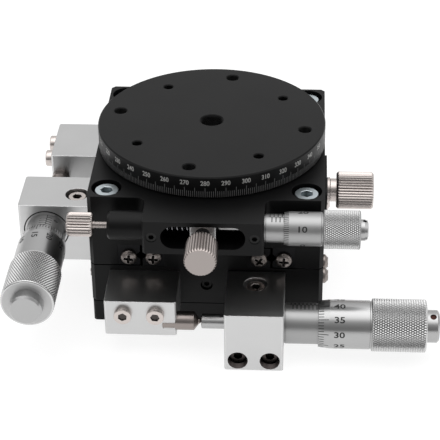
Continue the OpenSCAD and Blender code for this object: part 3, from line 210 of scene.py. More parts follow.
finish = {
    "blackAnodised": {"color": (0.0025, 0.0025, 0.0027), "metallic": 0.0, "roughness": 0.40, "spread": 0.05,
                      "grain": (900, 900, 900), "bump": 0.08, "edge": 0.16, "wear": (0.02, 0.02, 0.021),
                      "specular": 0.17},
    # the blocks' edges turn pure white: partly real wear and partly a painted highlight line
    "clearAnodised": {"color": grey(0.585), "roughness": 0.32, "spread": 0.05, "grain": (500, 60, 2600),
                      "edge": 0.3, "wear": grey(1.0), "worn": 0.9},
    "satinChrome": dict(chrome, color=grey(0.435), roughness=0.28, wear=grey(0.88)),
    "sleeveChrome": dict(chrome, color=grey(0.375), roughness=0.40, wear=grey(0.8)),
    "faceChrome": dict(chrome, color=grey(0.50), roughness=0.45, spread=0.05, wear=grey(0.88)),
    # the grip's rounded rim: glossier chrome, and brighter as a painted highlight
    "rimChrome": dict(chrome, color=grey(0.62), roughness=0.24, wear=grey(0.7)),
    "knurledChrome": dict(chrome, color=grey(0.72), roughness=0.27, shade=0.16, wear=grey(0.9)),
    # the pan heads' wide edge band is partly real wear and partly a painted highlight on the rim
    "panNickel": {"color": (0.27, 0.24, 0.225), "roughness": 0.30, "shade": 0.14, "edge": 0.2,
                  "wear": (0.9, 0.85, 0.82)},
    "turnedNickel": {"color": (0.36, 0.325, 0.31), "roughness": 0.33, "spread": 0.08,
                     "grain": (300, 3000, 3000), "wear": (0.7, 0.66, 0.63)},
    "dullNickel": {"color": (0.46, 0.41, 0.39), "roughness": 0.29, "shade": 0.1, "wear": (0.8, 0.74, 0.71)},
    "warmNickel": {"color": (0.60, 0.545, 0.52), "roughness": 0.27, "shade": 0.12,
                   "wear": (0.88, 0.83, 0.80)},
    "blackOxide": {"color": (0.07, 0.06, 0.058), "roughness": 0.3, "shade": 0.1, "edge": 0.03,
                   "wear": (0.2, 0.18, 0.17)},
    "holeThread": {"color": grey(0.007), "roughness": 0.35, "spread": 0.05, "bump": 0.03, "edge": 0.03,
                   "wear": grey(0.02)},
    "setBlack": {"color": grey(0.004), "metallic": 0.0, "roughness": 0.5, "edge": 0.02, "wear": grey(0.01),
                 "specular": 0.3},
    "blueZinc": {"color": (0.58, 0.64, 0.67), "roughness": 0.3, "spread": 0.08, "shade": 0.5,
                 "grain": (1200, 1200, 1200), "wear": (0.92, 0.95, 0.97)},
    "darkSteel": {"color": (0.30, 0.265, 0.25), "roughness": 0.30, "grain": (3000, 400, 400), "bump": 0.06,
                  "wear": (0.7, 0.66, 0.63)},
    "railSteel": {"color": (0.022, 0.022, 0.023), "roughness": 0.32, "grain": (300, 3000, 3000),
                  "wear": grey(0.05)},
    "springSteel": {"color": (0.36, 0.36, 0.38), "roughness": 0.28, "spread": 0.05, "bump": 0.03,
                    "edge": 0.03, "wear": grey(0.6)},
    "cageBrass": {"color": (0.74, 0.58, 0.28), "roughness": 0.32, "edge": 0.04, "wear": (0.85, 0.72, 0.42)},
}
surface = {"grainScale": 3.0, "grainDetail": 3.0, "grainHeight": 0.00003, "cloudScale": 70.0,
           "cloudDetail": 4.0, "toneLow": 0.93, "toneHigh": 1.05, "edgeSamples": 4, "edgeStart": 0.995,
           "edgeFull": 0.80}


def noise(tree, vector, scale, detail):
    node = tree.nodes.new("ShaderNodeTexNoise")
    node.inputs["Scale"].default_value = scale
    node.inputs["Detail"].default_value = detail
    tree.links.new(vector, node.inputs["Vector"])
    return node.outputs["Fac"]


def ranged(tree, value, low, high, start=0.0, end=1.0, kind="LINEAR"):
    # a value from start to end becomes one from low to high
    node = tree.nodes.new("ShaderNodeMapRange")
    node.interpolation_type = kind
    for socket, number in (("From Min", start), ("From Max", end), ("To Min", low), ("To Max", high)):
        node.inputs[socket].default_value = number
    tree.links.new(value, node.inputs["Value"])
    return node.outputs["Result"]


def dimmed(tree, color, factor):
    # a colour, fixed or from another node, times a factor
    node = tree.nodes.new("ShaderNodeVectorMath")
    node.operation = "SCALE"
    if isinstance(color, tuple):
        node.inputs[0].default_value = color
    else:
        tree.links.new(color, node.inputs[0])
    tree.links.new(factor, node.inputs["Scale"])
    return node.outputs["Vector"]


def madeFinish(name, f):
    # noise in Object coordinates spreads the roughness and raises a fine grain;
    # the rounded normal near an edge, against the true one, lets the edge turn lighter, partly as real wear
    # and partly as a painted highlight
    m = bpy.data.materials.new(name)
    m.use_nodes = True
    tree = m.node_tree
    n, link = tree.nodes, tree.links.new
    shader = n["Principled BSDF"]
    shader.inputs["Metallic"].default_value = f["metallic"]
    shader.inputs["Specular IOR Level"].default_value = f["specular"]
    place = n.new("ShaderNodeTexCoord")
    scale = n.new("ShaderNodeMapping")
    scale.inputs["Scale"].default_value = f["grain"]
    link(place.outputs["Object"], scale.inputs["Vector"])
    grain = noise(tree, scale.outputs["Vector"], surface["grainScale"], surface["grainDetail"])
    cloud = noise(tree, place.outputs["Object"], surface["cloudScale"], surface["cloudDetail"])
    rough, spread = f["roughness"], f["spread"]
    link(ranged(tree, cloud, rough - spread, rough + spread), shader.inputs["Roughness"])
    bump = n.new("ShaderNodeBump")
    bump.inputs["Strength"].default_value = f["bump"]
    bump.inputs["Distance"].default_value = surface["grainHeight"]
    link(grain, bump.inputs["Height"])
    edge = n.new("ShaderNodeBevel")
    edge.samples = surface["edgeSamples"]
    edge.inputs["Radius"].default_value = f["edge"] * mm
    link(edge.outputs["Normal"], bump.inputs["Normal"])
    link(bump.outputs["Normal"], shader.inputs["Normal"])
    true = n.new("ShaderNodeNewGeometry")
    dot = n.new("ShaderNodeVectorMath")
    dot.operation = "DOT_PRODUCT"
    link(edge.outputs["Normal"], dot.inputs[0])
    link(true.outputs["Normal"], dot.inputs[1])
    # the edge band: partly real wear and partly a painted highlight
    worn = ranged(tree, dot.outputs["Value"], 0.0, f["worn"], surface["edgeStart"], surface["edgeFull"])
    tone = ranged(tree, cloud, surface["toneLow"], surface["toneHigh"])
    mix = n.new("ShaderNodeMix")
    mix.data_type = "RGBA"
    link(worn, mix.inputs["Factor"])
    link(dimmed(tree, f["color"], tone), mix.inputs["A"])
    mix.inputs["B"].default_value = (*f["wear"], 1)
    color = mix.outputs["Result"]
    if "shade" in f:  # painted shade: a groove or recess is darkened as if it saw little light
        groove = n.new("ShaderNodeAttribute")
        groove.attribute_name = "shade"
        color = dimmed(tree, color, ranged(tree, groove.outputs["Fac"], 1.0, f["shade"]))
    link(color, shader.inputs["Base Color"])
    return m


blotches = {"scale": 1400.0, "detail": 2.0, "low": 0.75, "high": 1.1}


def paint(name, color, roughness):
    # flat paint in an engraved mark, a little blotchy
    m = bpy.data.materials.new(name)
    m.use_nodes = True
    tree = m.node_tree
    shader = tree.nodes["Principled BSDF"]
    shader.inputs["Roughness"].default_value = roughness
    place = tree.nodes.new("ShaderNodeTexCoord")
    blotch = noise(tree, place.outputs["Object"], blotches["scale"], blotches["detail"])
    tone = ranged(tree, blotch, blotches["low"], blotches["high"])
    tree.links.new(dimmed(tree, color, tone), shader.inputs["Base Color"])
    return m


metals = {name: madeFinish(name, {**usualFinish, **f}) for name, f in finish.items()}
whitePaint = paint("whiteEngravingPaint", (0.4, 0.4, 0.39), 0.6)
faintPaint = paint("wornEngravingPaint", (0.19, 0.19, 0.19), 0.6)
blackPaint = paint("blackEngravingPaint", (0.012, 0.012, 0.012), 0.55)
# reddish-brown painted shade for a small hole's bottom
rustShade = paint("rustShade", (0.07, 0.02, 0.012), 0.8)
darkShade = paint("darkShade", (0.003, 0.003, 0.003), 0.8)


def finishOf(slot):
    # black_anodised is the slot of blackAnodised, and so on
    first, *rest = slot.split("_")
    return first + "".join(word.capitalize() for word in rest)


for part in frame["record"]["subparts"]:
    finishName = finishOf(part["material_slot"])
    if part["node"] == "nose_set_screws":
        finishName = "setBlack"
    data = nodes[part["node"]].data
    data.materials.clear()
    data.materials.append(metals[finishName])
print("finishes made:", len(metals), "metals and 5 paints")


# Micrometer heads
# blockStart and blockEnd are places along the axis; stem, sleeve, spindle, bore, thimble, grip and capStem
# are radii
bigHead = {"blockStart": 5.5, "blockEnd": 20.3, "stem": 4.0, "sleeve": 5.2, "sleeveLength": 19.7,
           "groove": 0.12, "spindle": 1.9, "bore": 5.3, "lip": 0.5, "thimble": 6.2, "bevel": 2.9,
           "plain": 13.4, "grip": 6.7, "gripLength": 13.7, "gripChamfer": 0.5, "wall": 4.9, "capStem": 2.05,
           "capStemDepth": 2.6, "knurlCount": 64, "knurlPitch": 1.22, "knurlDepth": 0.24}
smallHead = {"blockStart": 10.5, "blockEnd": 15.0, "stem": 3.0, "sleeve": 3.575, "sleeveLength": 15.0,
             "groove": 0.16, "spindle": 1.0, "bore": 3.675, "lip": 0.35, "thimble": 4.3, "bevel": 1.2,
             "plain": 9.7, "grip": 4.85, "gripLength": 9.2, "gripChamfer": 0.4, "wall": 5.0, "capStem": 1.25,
             "capStemDepth": 1.8, "knurlCount": 52, "knurlPitch": 1.0, "knurlDepth": 0.2}
knurl = {"fade": 0.25, "flat": 0.25, "shadeGain": 1.8, "shadeFrom": 0.75, "steps": 8, "from": 0.2,
         "under": 0.1}
neck = {"deep": 0.12, "back": 0.5, "low": 0.42, "high": 0.05}
undercut, sleeveBevel, spindleBevel = 0.4, 0.04, 0.18
runFit, turnedBevel = 0.05, 0.05


def diamondGroove(start, end, count, pitch):
    # two families of V grooves cross round the grip; the result is 1 in a groove, falls to 0 halfway to the
    # next, and fades at the grip's two ends
    def groove(angle, s):
        fade = np.clip(np.minimum(s - start, end - s) / knurl["fade"] + 1, 0, 1)
        a = angle * count / (2 * np.pi) + (s - start) / pitch
        b = angle * count / (2 * np.pi) - (s - start) / pitch
        return fade * np.maximum(np.abs((a % 1.0) * 2 - 1), np.abs((b % 1.0) * 2 - 1))
    return groove


def thimbleMesh(axis, h, start):
    # a profile turned once round: bevelled edge, plain barrel, a fine groove and the knurled grip, then the
    # end face, stem hole and cavity; on the grip the radius falls by the depth of the diamond grooves
    g0 = start + h["plain"]
    g1 = g0 + h["gripLength"]
    cavity = g1 - h["wall"]
    inside = h["spindle"] + runFit
    low = h["thimble"] - neck["deep"]
    step = (h["grip"] - h["thimble"]) / 2
    front = softened([[h["bore"], start], [h["bore"] + h["lip"], start], [h["thimble"], start + h["bevel"]],
                      [h["thimble"], g0 - neck["back"]], [low, g0 - neck["low"]], [low, g0 - neck["high"]],
                      [(h["grip"] + h["thimble"]) / 2, g0], [h["grip"], g0 + step]], turnedBevel)
    c = h["gripChamfer"]
    k0, k1 = g0 + step, g1 - c
    cell = h["knurlPitch"] / knurl["steps"]
    steps = int((k1 - k0) / h["knurlPitch"] * knurl["steps"])
    grip = [[h["grip"], k0 + i * cell] for i in range(steps + 1)] + [[h["grip"], k1]]
    rim = [[h["grip"] - c + c * math.cos(t), g1 - c + c * math.sin(t)]
           for t in np.linspace(0, np.pi / 2, 7)]
    back = softened([rim[-1], [h["capStem"], g1], [h["capStem"], g1 - h["capStemDepth"]],
                     [inside, g1 - h["capStemDepth"]], [inside, cavity], [h["bore"], cavity],
                     [h["bore"], start]], turnedBevel)
    groove = diamondGroove(k0, k1, h["knurlCount"], h["knurlPitch"])

    def ridge(r, angle, s):
        cut = np.clip(groove(angle, s) * (1 + knurl["flat"]) - knurl["flat"], 0, 1)
        return np.where((s >= g0) & (r > h["thimble"]), np.minimum(r, h["grip"] - h["knurlDepth"] * cut), r)

    # painted shade, darkest deep in the knurl's diamond grooves
    def shade(r, angle, s):
        deep = np.clip(groove(angle, s) * knurl["shadeGain"] - knurl["shadeFrom"], 0, 1)
        return np.where((s >= g0) & (r > h["thimble"]), deep, 0)
    profile = front[:-1] + grip[:-1] + rim + back[1:]
    return turned(axis, profile, h["knurlCount"] * knurl["steps"], ridge, shade=shade)


shadowGap = {"inner": 5.62, "outer": 5.96, "proud": 0.02, "deep": 0.1}


def seamRing(axis, h):
    # a fine dark ring of painted shadow in the gap between the block and the bush that the sleeve is pressed
    # into
    low, high = h["blockEnd"] - shadowGap["deep"], h["blockEnd"] + shadowGap["proud"]
    return turned(axis, [[shadowGap["inner"], low], [shadowGap["inner"], high], [shadowGap["outer"], high],
                         [shadowGap["outer"], low]], 128, closed=True)


def gripPart(axis, h, start, part):
    # the knurled faces, the end face outside the cap's hole, or the rounded rim between them
    def chosen(middles):
        along, radius = axisPlaces(axis, middles)
        low = start + h["plain"] + knurl["from"]
        edge = start + h["plain"] + h["gripLength"] - h["gripChamfer"]
        flat = h["grip"] - h["gripChamfer"]
        if part == "knurl":
            return (along > low) & (along < edge) & (radius > h["grip"] - h["knurlDepth"] - knurl["under"])
        if part == "rim":
            return (along >= edge) & (radius > flat)
        return (along >= edge) & (radius > h["capStem"] + runFit) & (radius <= flat)
    return chosen


def sleeveMesh(axis, h):
    # the stem in the block, a fine undercut at the block's face and the graduated barrel
    inside = h["spindle"] + runFit
    b0, b1 = h["blockStart"], h["blockEnd"]
    low, shoulder, end = h["sleeve"] - h["groove"], b1 + undercut, b1 + h["sleeveLength"]
    profile = [[inside, b0], [h["stem"], b0], [h["stem"], b1], [low, b1], [low, shoulder],
               [h["sleeve"], shoulder], [h["sleeve"], end], [inside, end], [inside, b0]]
    return turned(axis, softened(profile, sleeveBevel), 128)


digitStore = {}


def digits(text):
    # a number's filled outline, one unit high and centred, cut finely enough to bend round a barrel
    if text not in digitStore:
        curve = bpy.data.curves.new("digits", "FONT")
        curve.body = text
        curve.resolution_u = 4
        curve.offset = 0.02
        source = bpy.data.objects.new("digits", curve)
        bpy.context.scene.collection.objects.link(source)
        bpy.context.view_layer.update()
        shape = bpy.data.meshes.new_from_object(source.evaluated_get(bpy.context.evaluated_depsgraph_get()))
        work = bmesh.new()
        work.from_mesh(shape)
        bmesh.ops.remove_doubles(work, verts=work.verts, dist=1e-5)
        bmesh.ops.triangulate(work, faces=work.faces)
        for share in (0.35, 0.18):
            long = [e for e in work.edges if e.calc_length() > share]
            bmesh.ops.subdivide_edges(work, edges=long, cuts=1)
            bmesh.ops.triangulate(work, faces=work.faces)
        bmesh.ops.recalc_face_normals(work, faces=work.faces)
        points = np.array([v.co[:2] for v in work.verts])
        faces = np.array([[v.index for v in (f.verts if f.normal.z > 0 else reversed(f.verts))]
                          for f in work.faces])
        work.free()
        bpy.data.objects.remove(source)
        bpy.data.meshes.remove(shape)
        low, high = points.min(0), points.max(0)
        digitStore[text] = ((points - (low + high) / 2) / (high[1] - low[1]), faces)
    return digitStore[text]


def wrapped(axis, text, radius, angle, along, height, stretch=1.0):
    # a flat number goes on a barrel: its width runs along the axis and its height runs round
    points, faces = digits(text)
    s = along + points[:, 0] * height * stretch
    a = angle + points[:, 1] * height / radius
    return toWorld(axis, radius, a, s), faces


def barrelLine(axis, radius0, radius1, angle, width, along0, along1):
    # a line along the barrel from along0 to along1, as wide as width
    a = angle + np.array([-0.5, 0.5]) * width / radius0
    s = np.array([along0, along1])
    r = np.array([radius0, radius1])
    points = toWorld(axis, r[:, None], a[None, :], s[:, None]).reshape(-1, 3)
    return points, [[0, 2, 3, 1]]


def roundLine(axis, radius, angle0, angle1, width, along):
    # a line that runs round the barrel from angle0 to angle1, as wide as width along it
    a = np.linspace(angle0, angle1, 7)
    s = along + np.array([-0.5, 0.5]) * width
    points = toWorld(axis, radius, a[None, :], s[:, None]).reshape(-1, 3)
    return points, gridFaces(2, 7, False)


thimbleMarks = {"lift": 0.012, "line": 0.19, "short": 1.4, "long": 2.6, "height": 1.62, "stretch": 1.3,
                "numberAt": 5.3, "divisions": 50, "from": 0.02}
fineMarks = dict(thimbleMarks, line=0.17, short=1.7, long=2.8, height=1.55, numberAt=4.65)


def thimbleScale(axis, h, start, atValue, atAngle, every, m):
    # divisions on the bevel, with a number at each 5 or 10 on the barrel; the value grows with the angle
    parts = []
    edge = h["bore"] + h["lip"]
    slope = (h["thimble"] - edge) / h["bevel"]
    step = 2 * np.pi / m["divisions"]
    for i in range(m["divisions"]):
        a = np.radians(atAngle) + (i - atValue) * step
        reach = min(m["long"] if i % 5 == 0 else m["short"], h["bevel"])
        parts.append(barrelLine(axis, edge + m["lift"], edge + slope * reach + m["lift"], a, m["line"],
                                start + m["from"], start + reach))
        if i % every == 0:
            parts.append(wrapped(axis, str(i), h["thimble"] + m["lift"] * 2, a, start + m["numberAt"],
                                 m["height"], m["stretch"]))
    return joined(parts)


sleeveMarks = {"lift": 0.012, "line": 0.27, "datumShare": 0.7, "marks": 14, "datum": 98, "front": 20.5,
               "behind": 15, "toNumber": 12, "zero": 22.49, "number": 1.2, "datumFrom": 0.6, "lastGap": 0.2}
fineScale = dict(sleeveMarks, marks=12, zero=16.9, datum=83, front=26, behind=25, line=0.24, number=0.95)


def sleeveScale(axis, h, m, end):
    # the datum line near the top, millimetre marks to the front of it, half marks and numbers behind it
    r = h["sleeve"] + m["lift"]
    datum, front, behind, toNumber = (np.radians(m[k]) for k in ("datum", "front", "behind", "toNumber"))
    first, last = h["blockEnd"] + m["datumFrom"], end - m["lastGap"]
    numberAngle = datum + behind + toNumber
    parts = [barrelLine(axis, r, r, datum, m["line"] * m["datumShare"], first, end)]
    for i in range(m["marks"]):
        s = m["zero"] + i
        if s < last:
            parts.append(roundLine(axis, r, datum - front, datum, m["line"], s))
            if i % 5 == 0:
                parts.append(wrapped(axis, str(i), r + m["lift"], numberAngle, s, m["number"]))
        if s - 0.5 < last:
            parts.append(roundLine(axis, r, datum, datum + behind, m["line"], s - 0.5))
    return joined(parts)


def spindleMesh(axis, h, k):
    # a ground rod, with softened ends or, where ball says, a ball of its own radius at its tip
    r, tail = h["spindle"], k["start"] + h["plain"] + h["gripLength"] - h["wall"] + k["inCavity"]
    if "ball" in k:
        tip = [[r * np.sin(t), k["ball"] - r * np.cos(t)] for t in np.linspace(0, np.pi / 2, 12)]
        return turned(axis, tip + [[r, tail], [0, tail]], 64)
    return turned(axis, softened([[0, k["tip"]], [r, k["tip"]], [r, tail], [0, tail]], spindleBevel), 96)


largeHead = {"h": bigHead, "every": 5, "sleeveEnd": 39.6, "thimble": "satinChrome", "marks": thimbleMarks,
             "scale": sleeveMarks, "inCavity": 1.6,
             "parts": {"knurl": "knurledChrome", "face": "faceChrome", "rim": "rimChrome"}}
# value is the division that stands at angle, in degrees
heads = {
    "x": dict(largeHead, axis=xHead, start=28.9, tip=-0.6, value=35, angle=45.0, fixed="base"),
    "y": dict(largeHead, axis=yHead, start=26.5, tip=-3.0, value=15, angle=80.5, fixed="x_carriage"),
    "fine": {"h": smallHead, "axis": fineHead, "start": 19.9, "ball": 4.2, "value": 10, "angle": 29.7,
             "every": 10, "fixed": "y_carriage", "sleeveEnd": 29.6, "thimble": "sleeveChrome",
             "marks": fineMarks, "scale": fineScale, "inCavity": 2.6, "parts": {"knurl": "knurledChrome"}},
}
for side, k in heads.items():
    h, axis, start = k["h"], k["axis"], k["start"]
    grip = newPiece(side + "ThimbleKnurled", thimbleMesh(axis, h, start), side + "_thimble",
                    metals[k["thimble"]], (side + "_thimble",), clean=False)
    furtherFinishes(grip, [(metals[f], gripPart(axis, h, start, part)) for part, f in k["parts"].items()])
    newPiece(side + "SleeveTurned", sleeveMesh(axis, h), k["fixed"], metals["sleeveChrome"],
             (side + "_sleeve",))
    if side != "fine":
        # a ring of painted shadow at the block's face
        newPiece(side + "BushSeam", seamRing(axis, h), k["fixed"], metals["setBlack"], ())
    newPiece(side + "SpindleGround", spindleMesh(axis, h, k), side + "_spindle", metals["satinChrome"],
             (side + "_spindle",))
    newPiece(side + "ThimbleDivisions", thimbleScale(axis, h, start, k["value"], k["angle"], k["every"],
                                                     k["marks"]), side + "_thimble", blackPaint)
    newPiece(side + "SleeveScale", sleeveScale(axis, h, k["scale"], k["sleeveEnd"]), k["fixed"], blackPaint)
print("micrometer heads made")


# Table scale
tableScale = {"radius": 30.02, "low": 38.42, "short": 40.15, "long": 41.1, "line": 0.11, "height": 1.34,
              "numberAt": 42.45, "numberLift": 0.012, "zero": -10, "stretch": 0.86}


def tableRim(m):
    # a line for every degree, a longer one at each fifth, and a number at each tenth
    lines, numbers = [], []
    for i in range(360):
        a = np.radians(m["zero"] + i)
        high = m["long"] if i % 5 == 0 else m["short"]
        lines.append(barrelLine(tableAxis, m["radius"], m["radius"], a, m["line"], m["low"], high))
        if i % 10 == 0:
            # here the width runs round the rim and the height runs up
            points, faces = digits(str(i))
            turn = a + points[:, 0] * m["height"] * m["stretch"] / m["radius"]
            up = m["numberAt"] + points[:, 1] * m["height"]
            numbers.append((toWorld(tableAxis, m["radius"] + m["numberLift"], turn, up), faces))
    points, faces = joined(lines)[:2]
    return (points, [f[::-1] for f in faces]), joined(numbers)[:2]


rimLines, rimNumbers = tableRim(tableScale)
newPiece("tableDegreeLines", rimLines, "table", faintPaint)
newPiece("tableDegreeNumbers", rimNumbers, "table", whitePaint)
print("table scale made")


# Thumb knobs
lockKnob = {"at": 33.4, "length": 9.9, "radius": 5.0, "ridges": 40, "finish": "warmNickel",
            "shank": [[1.5, 24.4], [1.5, 30.9], [3.45, 30.9], [3.45, 31.7], [3.15, 31.7], [3.15, 33.4]]}
plungerThread = [[0.95 if i % 2 else 0.76, 20.7 + i * 0.2] for i in range(34)]
knobs = {
    "x_lock_knob": dict(lockKnob, axis=xLockAxis, body="x_lock"),
    "y_lock_knob": dict(lockKnob, axis=yLockAxis, body="y_lock"),
    "clamp_thumb_screw": {"axis": frontAxis, "body": "clamp_thumb", "at": 44.0, "length": 8.3,
                          "radius": 4.05, "ridges": 32, "finish": "dullNickel",
                          "shank": [[1.25, 20.03], [1.25, 41.05], [2.0, 41.05], [2.0, 44.0]]},
    "plunger_thumb_screw": {"axis": plungerAxis, "body": "plunger_thumb", "at": 27.8, "length": 6.4,
                            "radius": 3.05, "ridges": 24, "finish": "warmNickel", "stemFrom": 20.5,
                            "shank": [[1.5, 18.8], [1.5, 19.4], [0.95, 19.4], [0.95, 20.5]] + plungerThread
                            + [[0.95, 27.6], [0.95, 27.8]]},
}
knobForm = {"chamfer": 0.45, "crest": 0.12, "crestAt": 0.72, "fullAt": 1.3, "depth": 0.30, "dish": 0.03,
            "dishRim": 0.15, "dishShare": 0.5, "dishRise": 0.01, "gain": 1.35, "from": 0.2, "shadeGain": 2.2,
            "shadeFrom": 1.15, "bare": 0.35, "shankBevel": 0.1, "faceDeep": 0.06}


def knobMesh(k):
    # straight knurls: the radius swings between crest and root like a rounded saw round the knob
    f = knobForm
    s0, s1, r, c = k["at"], k["at"] + k["length"], k["radius"], f["chamfer"]
    crest, bottom = r - f["crest"], s1 - f["dish"]
    shank = softened([[0, k["shank"][0][1]]] + k["shank"], f["shankBevel"])
    grip = [[r - c, s0], [crest, s0 + c * f["crestAt"]], [r, s0 + c * f["fullAt"]]]
    grip += [[r, s] for s in np.linspace(s0 + 1, s1 - 1, 4)]
    grip += [[r, s1 - c * f["fullAt"]], [crest, s1 - c * f["crestAt"]], [r - c, s1],
             [r - c - f["dishRim"], s1], [r * f["dishShare"], bottom + f["dishRise"]], [0, bottom]]

    def wave(angle):
        return np.abs(((angle * k["ridges"] / (2 * np.pi)) % 1.0) * 2 - 1)

    def ridge(rr, angle, s):
        cut = f["depth"] * np.clip(f["gain"] * wave(angle) - f["from"], 0, 1)
        return rr - cut * np.clip((rr - (r - c)) / c, 0, 1) * (s >= s0)

    # painted shade deep in the straight knurls' grooves
    def shade(rr, angle, s):
        deep = np.clip(f["shadeGain"] * wave(angle) - f["shadeFrom"], 0, 1)
        return np.where((s >= s0) & (rr > r - c - f["bare"]) & (s < s1), deep, 0)
    return turned(k["axis"], [list(p) for p in shank] + grip, k["ridges"] * 8, ridge, shade=shade)


def between(axis, low, high):
    # the faces whose middle lies between two places along the axis
    def chosen(middles):
        along = axisPlaces(axis, middles)[0]
        return (along > low) & (along < high)
    return chosen


for node, k in knobs.items():
    knob = newPiece(node.replace("_", "") + "Knurled", knobMesh(k), k["body"], metals[k["finish"]], (node,),
                    sharp=25)
    end = k["at"] + k["length"]
    choices = [(metals["turnedNickel"], between(k["axis"], end - knobForm["faceDeep"], end + 1))]
    if "stemFrom" in k:  # the thin threaded stem behind the grip
        choices.append((metals["turnedNickel"], between(k["axis"], k["stemFrom"], k["at"])))
    furtherFinishes(knob, choices)
print("thumb knobs made")


# Screws

def screwAxis(place, out):
    # an axis from a place, running the way that out points
    out = np.array(out, float)
    side = np.array([0, 0, 1.0]) if abs(out[2]) < 0.5 else np.array([1.0, 0, 0])
    up = np.cross(out, side)
    return axisFrame(place, side, up, out)


def shapedRings(axis, rings, segments=96):
    # rings of (outline, place, shade): each outline is a radius for every angle, and shade may be left out
    angle = np.linspace(0, 2 * np.pi, segments, endpoint=False)
    radius = np.array([ring[0](angle) if callable(ring[0]) else np.full(segments, ring[0])
                       for ring in rings])
    place = np.array([ring[1] for ring in rings])[:, None] + 0 * angle[None, :]
    shade = np.repeat([ring[2] if len(ring) > 2 else 0.0 for ring in rings], segments)
    points = toWorld(axis, radius, angle[None, :], place)
    faces = gridFaces(len(rings), segments, True)
    if not turnsRight(axis):
        faces = faces[:, ::-1]
    return points.reshape(-1, 3), faces, shade


def hexOutline(acrossFlats, turn=0.0):
    # the radius of a hexagon is its half width over the cosine of the angle from the nearest flat
    def outline(angle):
        a = (angle + turn) % (np.pi / 3) - np.pi / 6
        return acrossFlats / 2 / np.cos(a)
    return outline


def crossOutline(length, width, turn=0.0):
    # along an arm the radius ends at its tip, and between arms it follows the arm's side
    def outline(angle):
        a = np.abs((angle + turn + np.pi / 4) % (np.pi / 2) - np.pi / 4)
        return np.minimum(length / 2 / np.cos(a), width / 2 / np.maximum(np.sin(a), 1e-4))
    return outline


def scaled(outline, share):
    return lambda angle: outline(angle) * share


tipBevel = 0.2
socketForm = {"across": 0.44, "round": 0.05, "roundAt": 0.06, "side": 0.82, "shoulder": 0.07,
              "shoulderAt": 0.93, "rim": 0.25, "flat": 0.33, "mouth": 1.08, "mouthDeep": 0.1, "floor": 0.48,
              "drill": 0.75, "drillAt": 0.42, "point": 0.36}
panForm = {"edge": 0.42, "side": 0.9, "round": 0.04, "roundAt": 0.05, "dome": (0.99, 0.93, 0.86, 0.78, 0.7),
           "armLength": 0.6, "armWidth": 0.17, "mouth": 1.05, "mouthAt": 0.5, "mouthRise": 0.02,
           "mouthDeep": 0.06, "middle": (0.8, 0.32), "low": (0.45, 0.55), "point": 0.62}


def shank(d, length):
    # a plain round shank with a bevelled tip
    return [(0.0, -length), (d / 2 - tipBevel, -length), (d / 2, -length + tipBevel), (d / 2, 0)]


def socketScrew(place, out, d, headD, headH, length, turn):
    # shank, head with a rounded rim and a six-sided socket with a drilled bottom; painted shade darkens the
    # socket towards its bottom
    f, r = socketForm, headD / 2
    six = hexOutline(headD * f["across"], turn)
    rings = [(r - f["round"], 0), (r, f["roundAt"]), (r, headH * f["side"]),
             (r - f["shoulder"], headH * f["shoulderAt"]), (r - f["rim"], headH), (headD * f["flat"], headH),
             (scaled(six, f["mouth"]), headH), (six, headH - f["mouthDeep"], 0.6),
             (six, headH * f["floor"], 0.95), (scaled(six, f["drill"]), headH * f["drillAt"], 1.0),
             (0.0, headH * f["point"], 1.0)]
    return shapedRings(screwAxis(place, out), shank(d, length) + rings)


def panScrew(place, out, d, headD, headH, length, turn):
    # shank, low domed head and a cross recess that narrows as it goes down; painted shade darkens the recess
    # towards its bottom
    f, r = panForm, headD / 2
    edge = headH * f["edge"]
    dome = headH - edge
    domeR = (r * r + dome * dome) / (2 * dome)

    def domeAt(share):
        return headH - domeR + math.sqrt(domeR ** 2 - (r * share) ** 2)
    cross = crossOutline(headD * f["armLength"], headD * f["armWidth"], turn)
    top = domeAt(f["mouthAt"])
    rings = [(r - f["round"], 0), (r, f["roundAt"]), (r, edge * f["side"])]
    rings += [(r * share, domeAt(share)) for share in f["dome"]]
    rings += [(scaled(cross, f["mouth"]), top + f["mouthRise"]), (cross, top - f["mouthDeep"], 0.8)]
    rings += [(scaled(cross, share), top - headH * deep, 1.0) for share, deep in (f["middle"], f["low"])]
    rings.append((0.0, top - headH * f["point"], 1.0))
    return shapedRings(screwAxis(place, out), shank(d, length) + rings)


def boreThread(place, out, crest, root, inset, depth):
    # fine turns in a hole's mouth: the inner radius swings between crest and root along the hole
    half, thin = 0.175, 0.03
    steps = int(depth / half)
    inner = [[root if i % 2 else crest - thin, -inset - i * half] for i in range(steps + 1)]
    return turned(screwAxis(place, out), inner + [[crest, inner[-1][1]], [crest, -inset]], 96, closed=True)


def same(v):
    return v


def upperPlace(p):
    # the upper unit is the lower one turned a quarter clockwise and raised by a layer
    return (p[1], -p[0], p[2] + 11.4)


def turnedWay(v):
    return (v[1], -v[0], v[2])


# reach is how far out the block's front face lies, anvilH is the anvil heads' height, and lift, out and
# shift are how much higher, further out and further along the upper slide's screws lie
units = {
    "x": {"put": same, "way": same, "low": "base", "high": "x_carriage", "lift": 0, "reach": 50.2, "out": 0,
          "shift": 0, "anvilH": 1.4},
    "y": {"put": upperPlace, "way": turnedWay, "low": "x_carriage", "high": "y_carriage", "lift": 0.95,
          "reach": 49.6, "out": 0.5, "shift": 1.3, "anvilH": 2.2},
}
# a screw's size is its shank's diameter, its head's diameter and height, and its length
railHeads = {"end": 29.9, "trackZ": 8.85, "pan": (2.5, 4.2, 1.8, 3.0), "socket": (2.5, 4.5, 2.5, 5.1),
             "socketTurn": 0.3}
railRows = {
    "inner": {"y": 13.55, "x": 14.0, "seat": 3.4, "up": -1, "turns": (0.15, 0.03, 0.5, 0.62)},
    "outer": {"y": 19.85, "x": 20.8, "seat": 14.9, "up": 1, "turns": (0.85, 0.12, 0.3, 0.05)},
}


